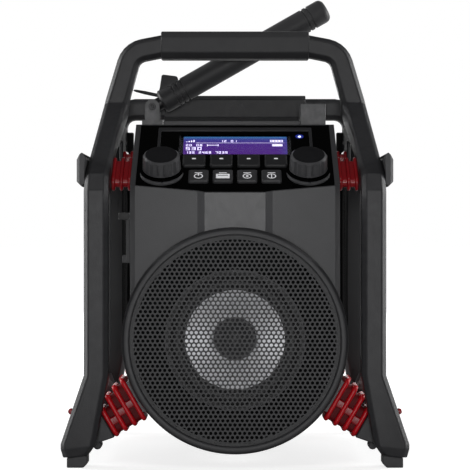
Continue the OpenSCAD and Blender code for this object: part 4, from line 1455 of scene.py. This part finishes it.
    def preset(self, i: int) -> None:
        """A preset key with a lower facet and its mark.

        Args:
            i: Its number from the left.
        """
        x, s = (i - 2.5) * self.preset_pitch, self.preset_s
        piece = Bench.traced(f"preset_button_{i}", f"preset_key_cap_{i}", 2)
        body = f"preset_key_{i}"
        fit(Bench.soften(piece, self.key_edge), PRESET, f"preset_button_{i}", body=body)
        mark = Bench.slab(f"preset_mark_{i}", (3.0, 1.7, 0.12), 0.4, 0, 3)
        # The mark's print glows faintly: painted light.
        fit(mark, PRINT_PAINTED_GLOW, body=body, place=PANEL @ shifted(x, s + 1.6, self.mark_rise))

    def function(self, i: int) -> None:
        """A function key with a plain symbol.

        Args:
            i: Its number from the left.
        """
        x, s = (i - 2.5) * self.function_pitch, self.function_s
        piece = Bench.traced(f"function_button_{i}", f"function_key_cap_{i}", 2)
        body = f"function_key_{i}"
        fit(Bench.soften(piece, self.key_edge), KEYS, f"function_button_{i}", body=body)
        symbol = list(Symbol)[i - 1]
        parts = []
        if symbol is Symbol.BAR:
            parts += [self.bar(-5.2, y, 10.4, h) for y, h in ((-3.2, 3.8), (1.6, 1.6))]
            parts += [self.bar(x_bar, 0.6, 1.2, 1.0) for x_bar in (-5.2, 4.0)]
        else:
            loop = [(2.7, -0.06), (2.7, 0.06), (3.5, 0.06), (3.5, -0.06)]
            parts.append(Bench.lathe("loop", loop, 32))
            if symbol is Symbol.DOT:
                dot = [(0, -0.06), (1.1, -0.06), (1.1, 0.06), (0, 0.06)]
                parts.append(Bench.lathe("dot", dot, 20, False))
            elif symbol is Symbol.HALF:
                parts.append(self.bar(-0.4, -2.4, 0.8, 4.8))
            else:
                parts.append(self.bar(-0.4, 0.6, 0.8, 3.4))
        cap = Bench.shift(Bench.slab("line", (6.0, 0.8, 0.12), 0.2, 0, 2), shifted(0, 4.9, 0))
        mark = Bench.join([*parts, cap], f"function_mark_{i}")
        # The symbol's print glows faintly: painted light.
        fit(mark, PRINT_PAINTED_GLOW, body=body, place=PANEL @ shifted(x, s - 1.6, self.mark_rise))


@dataclass
class Antenna:
    """The whip in its rubber sleeve, on a knuckle between the bracket's ears."""

    sleeve: float = 10.4
    start: float = 8.6
    length: float = 173.0

    def build(self) -> None:
        """Makes the sleeve, lug and lock rod."""
        r, end = self.sleeve, self.length
        profile: list[Point] = [(0, self.start), (r - 1.8, self.start), (r, self.start + 1.8)]
        for g in (21.6, 26.1, 30.6, end - 21, end - 16.5):
            profile += [(r, g), (r - 0.9, g + 0.3), (r - 0.9, g + 1.5), (r, g + 1.8)]
        profile += arc(r - 5, end - 5, 5, range(0, 91, 15))
        profile.append((0, end))
        body = Bench.lathe("antenna_sleeve", profile, 64, False)
        fit(body, RUBBER, "antenna_whip", body="antenna", place=ALONG_ANTENNA)
        wedge = [
            (9.6, 6.0), (9.6, 7.4), (13.6, 11.6), (20.2, 20.0), (21.8, 20.1),
            (31.0, 13.2), (31.5, 11.8), (30.6, 9.0), (30, 6),
        ]
        lug = Bench.prism("antenna_lug", wedge, -4.6, 4.6, 0.7)
        fit(lug, RUBBER, body="antenna", place=ANTENNA @ FRONTAL)
        section = [(0, 0), (1.5, 0), (1.5, 14), (1.1, 22), (0.7, 24.4), (0, 24.6)]
        rod = Bench.lathe("antenna_lock_rod", section, 20, False)
        lean = ANTENNA @ shifted(11.2, 0, 4.9) @ turned_about("Y", -48.4)
        fit(rod, PIN, body="antenna", place=lean)
        for part, finish, edge in (
            ("bracket", BRACKET, 0.7), ("clip", BRACKET, 0.7), ("pivot", PIN, 0.3),
        ):
            node = f"antenna_{part}"
            fit(Bench.soften(Bench.traced(node, f"{node}_soft", 2), edge), finish, node)


@dataclass
class Surfaces:
    """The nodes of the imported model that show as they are, each with its finish."""

    def build(self) -> None:
        """Gives every node still shown its finish."""
        cover = Bench.soften(Bench.traced("socket_cover", "socket_cover_soft", 2), 0.35, 3)
        fit(cover, RUBBER, "socket_cover", body="socket_flap")
        # A thin dark plate over the housing's hinge lug: painted shade for its shaded opening.
        boot = Bench.slab("hinge_boot", (9.0, 5.5, 0.9), 2.6, 0.3)
        fit(boot, HINGE_SHADE, place=moved(-84.9, 23.2, SPEAKER_Z + 94.4) @ FRONTAL)
        ridge = Bench.slab("deck_ridge", (118, 7.8, 9.2), 1.5, 0.8)
        fit(ridge, BODY, place=moved(-3.0, 177.0, 268.6))
        plain: dict[str, Finish] = {
            "front_housing": BODY, "rear_housing": BODY, "battery_door": BODY,
            "control_panel": GLOSS, "socket_block": GLOSS, "display_module": INNER,
            "status_led": LAMP, "main_board": BOARD, "battery_pack": BATTERY,
            "housing_screws": STEEL, "volume_shaft": STEEL, "tuning_shaft": STEEL,
            "knob_encoders": STEEL, "battery_door_pin": STEEL, "socket_cover_pin": PIN,
            "antenna_knuckle": PIN, "speaker_basket": BASKET, "speaker_magnet": MAGNET,
        }
        for node, finish in plain.items():
            piece = frame["nodes"][node]
            piece.data.materials.clear()
            piece.data.materials.append(finish.material())
            LOG.info("%s: dressed as %s", node, finish.name)


@dataclass
class Studio:
    """A pale floor, soft light and the photograph's camera."""

    distance: float = 1.2
    height: float = 0.1752
    lens: float = 122.55
    sensor: float = 36.0

    def build(self) -> None:
        """Sets up the floor, light and camera."""
        self.floor()
        self.light()
        self.world()
        data = bpy.data.cameras.new("camera")
        data.lens, data.sensor_width = self.lens, self.sensor
        camera = bpy.data.objects.new("camera", data)
        camera.location = (0, -HALF_DEPTH / 1000 - self.distance, self.height)
        camera.rotation_euler = (math.pi / 2, 0, 0)
        bpy.context.scene.collection.objects.link(camera)
        bpy.context.scene.camera = camera
        bpy.context.scene.view_settings.view_transform = "Standard"

    def floor(self) -> None:
        """A wide pale floor that stays white to the eye but keeps the shadow."""
        Bench.clear()
        bpy.ops.mesh.primitive_plane_add(size=40, location=(0, 0, 0))
        floor = Bench.christen("studio_floor")
        sheet = Sheet("floor_paper")
        tone = sheet.ramp(
            sheet.noise(60.0, 2.0), [(0.3, (0.56, 0.56, 0.56)), (0.7, (0.6, 0.6, 0.6))],
        )
        sheet.wire(tone, "Base Color")
        sheet.set(Roughness=0.9, Specular_IOR_Level=0.1, Emission_Color=(1, 1, 1, 1))
        seen = self.seen(sheet.nodes, sheet.links)
        away = sheet.add("ShaderNodeVectorMath", operation="LENGTH")
        sheet.links.new(sheet.place, away.inputs[0])
        lift = sheet.span(away.outputs["Value"], 0.78, 1.0, 0.3, 1.3)
        sheet.wire(sheet.multiply(seen, lift), "Emission Strength")
        floor.data.materials.append(sheet.material)

    @staticmethod
    def seen(nodes: bpy.types.Nodes, links: bpy.types.NodeLinks) -> Socket:
        """Tells rays that reach the eye from rays that light the radio.

        Args:
            nodes: The nodes of a material or the world.
            links: Their links.

        Returns:
            A socket that is 1 for the camera's rays, straight or through glass.
        """
        path, either = nodes.new("ShaderNodeLightPath"), nodes.new("ShaderNodeMath")
        either.operation = "MAXIMUM"
        for i, ray in enumerate(("Is Camera Ray", "Is Transmission Ray")):
            links.new(path.outputs[ray], either.inputs[i])
        return either.outputs[0]

    @staticmethod
    def gather(name: str, held: tuple[str, ...], left_out: tuple[str, ...]) -> bpy.types.Collection:
        """Gathers pieces for the linking of a lamp's light or shadow.

        Args:
            name: The collection's name.
            held: The pieces that the lamp acts on.
            left_out: The pieces that it passes over.

        Returns:
            The collection.
        """
        group = bpy.data.collections.new(name)
        for piece in (*held, *left_out):
            group.objects.link(bpy.data.objects[piece])
        for entry, piece in zip(group.collection_objects, group.objects):
            entry.light_linking.link_state = "EXCLUDE" if piece.name in left_out else "INCLUDE"
        return group

    @staticmethod
    def lamp(
        name: str, at: Place, size: Point, power: float, aim: Place = (0, 0, 0.18),
        only: tuple[str, ...] = (), spare: tuple[str, ...] = (), through: tuple[str, ...] = (),
    ) -> None:
        """Adds a soft box.

        Args:
            name: Its name.
            at: Where it stands, in metres.
            size: Its width and height.
            power: Its power in watts.
            aim: The point it faces.
            only: The pieces it lights, where it lights only some.
            spare: The pieces it leaves out.
            through: The pieces that cast no shadow from it.
        """
        data = bpy.data.lights.new(name, "AREA")
        data.shape = "RECTANGLE"
        data.size, data.size_y = size
        data.energy = power
        lamp = bpy.data.objects.new(name, data)
        lamp.location = at
        lamp.rotation_euler = (Vector(aim) - Vector(at)).to_track_quat("-Z", "Y").to_euler()
        bpy.context.scene.collection.objects.link(lamp)
        if only or spare:
            receivers = Studio.gather(f"{name}_receivers", only, spare)
            lamp.light_linking.receiver_collection = receivers
        if through:
            blockers = Studio.gather(f"{name}_blockers", (), through)
            lamp.light_linking.blocker_collection = blockers

    def light(self) -> None:
        """A front box near the camera, two strips square to the sides and a box behind."""
        housing = ("front_housing", "rear_housing", "battery_door")
        front = ("grille_disc", "ring_shell")
        self.lamp("key_front", (0.0, -2.2, 0.26), (0.5, 0.5), 14)
        for name, x in (("left", -1.55), ("right", 1.55)):
            at, aim = (x, -0.85, 0.12), (0, -0.1, 0.095)
            self.lamp(f"cone_{name}", at, (0.9, 0.5), 12, aim, ("cone_shell",), through=front)
            self.lamp(f"strip_{name}", (x, 0.35, 0.35), (0.45, 1.5), 29, spare=housing)
            self.lamp(f"side_{name}", (x, 0.1, 0.5), (1.2, 1.2), 2, only=housing)
        self.lamp("box_back", (0.0, 2.2, 0.7), (1.4, 0.9), 14)
        self.lamp("box_top", (0.0, -0.9, 1.7), (0.9, 0.4), 4)

    def world(self) -> None:
        """Even light all round, white to the eye and in glass."""
        world = bpy.data.worlds.new("studio_world")
        bpy.context.scene.world = world
        world.use_nodes = True
        nodes, links = world.node_tree.nodes, world.node_tree.links
        nodes.clear()
        seen = self.seen(nodes, links)
        fill, white = nodes.new("ShaderNodeBackground"), nodes.new("ShaderNodeBackground")
        fill.inputs["Color"].default_value = (0.95, 0.97, 1.0, 1)
        fill.inputs["Strength"].default_value = 0.06
        white.inputs["Color"].default_value = (1, 1, 1, 1)
        white.inputs["Strength"].default_value = 1.0
        mix, out = nodes.new("ShaderNodeMixShader"), nodes.new("ShaderNodeOutputWorld")
        for i, socket in enumerate((seen, fill.outputs[0], white.outputs[0])):
            links.new(socket, mix.inputs[i])
        links.new(mix.outputs[0], out.inputs["Surface"])


def main() -> None:
    """Builds the radio's looks in order."""
    logging.basicConfig(level=logging.INFO, format="%(name)s: %(message)s")
    kinds = (Surfaces, Cage, Handle, Dampers, Loudspeaker, ControlPanel, Antenna, Studio)
    for part in [kind() for kind in kinds]:
        LOG.info("building %s", type(part).__name__)
        part.build()
    Bench.clear()


if __name__ == "__main__":
    main()
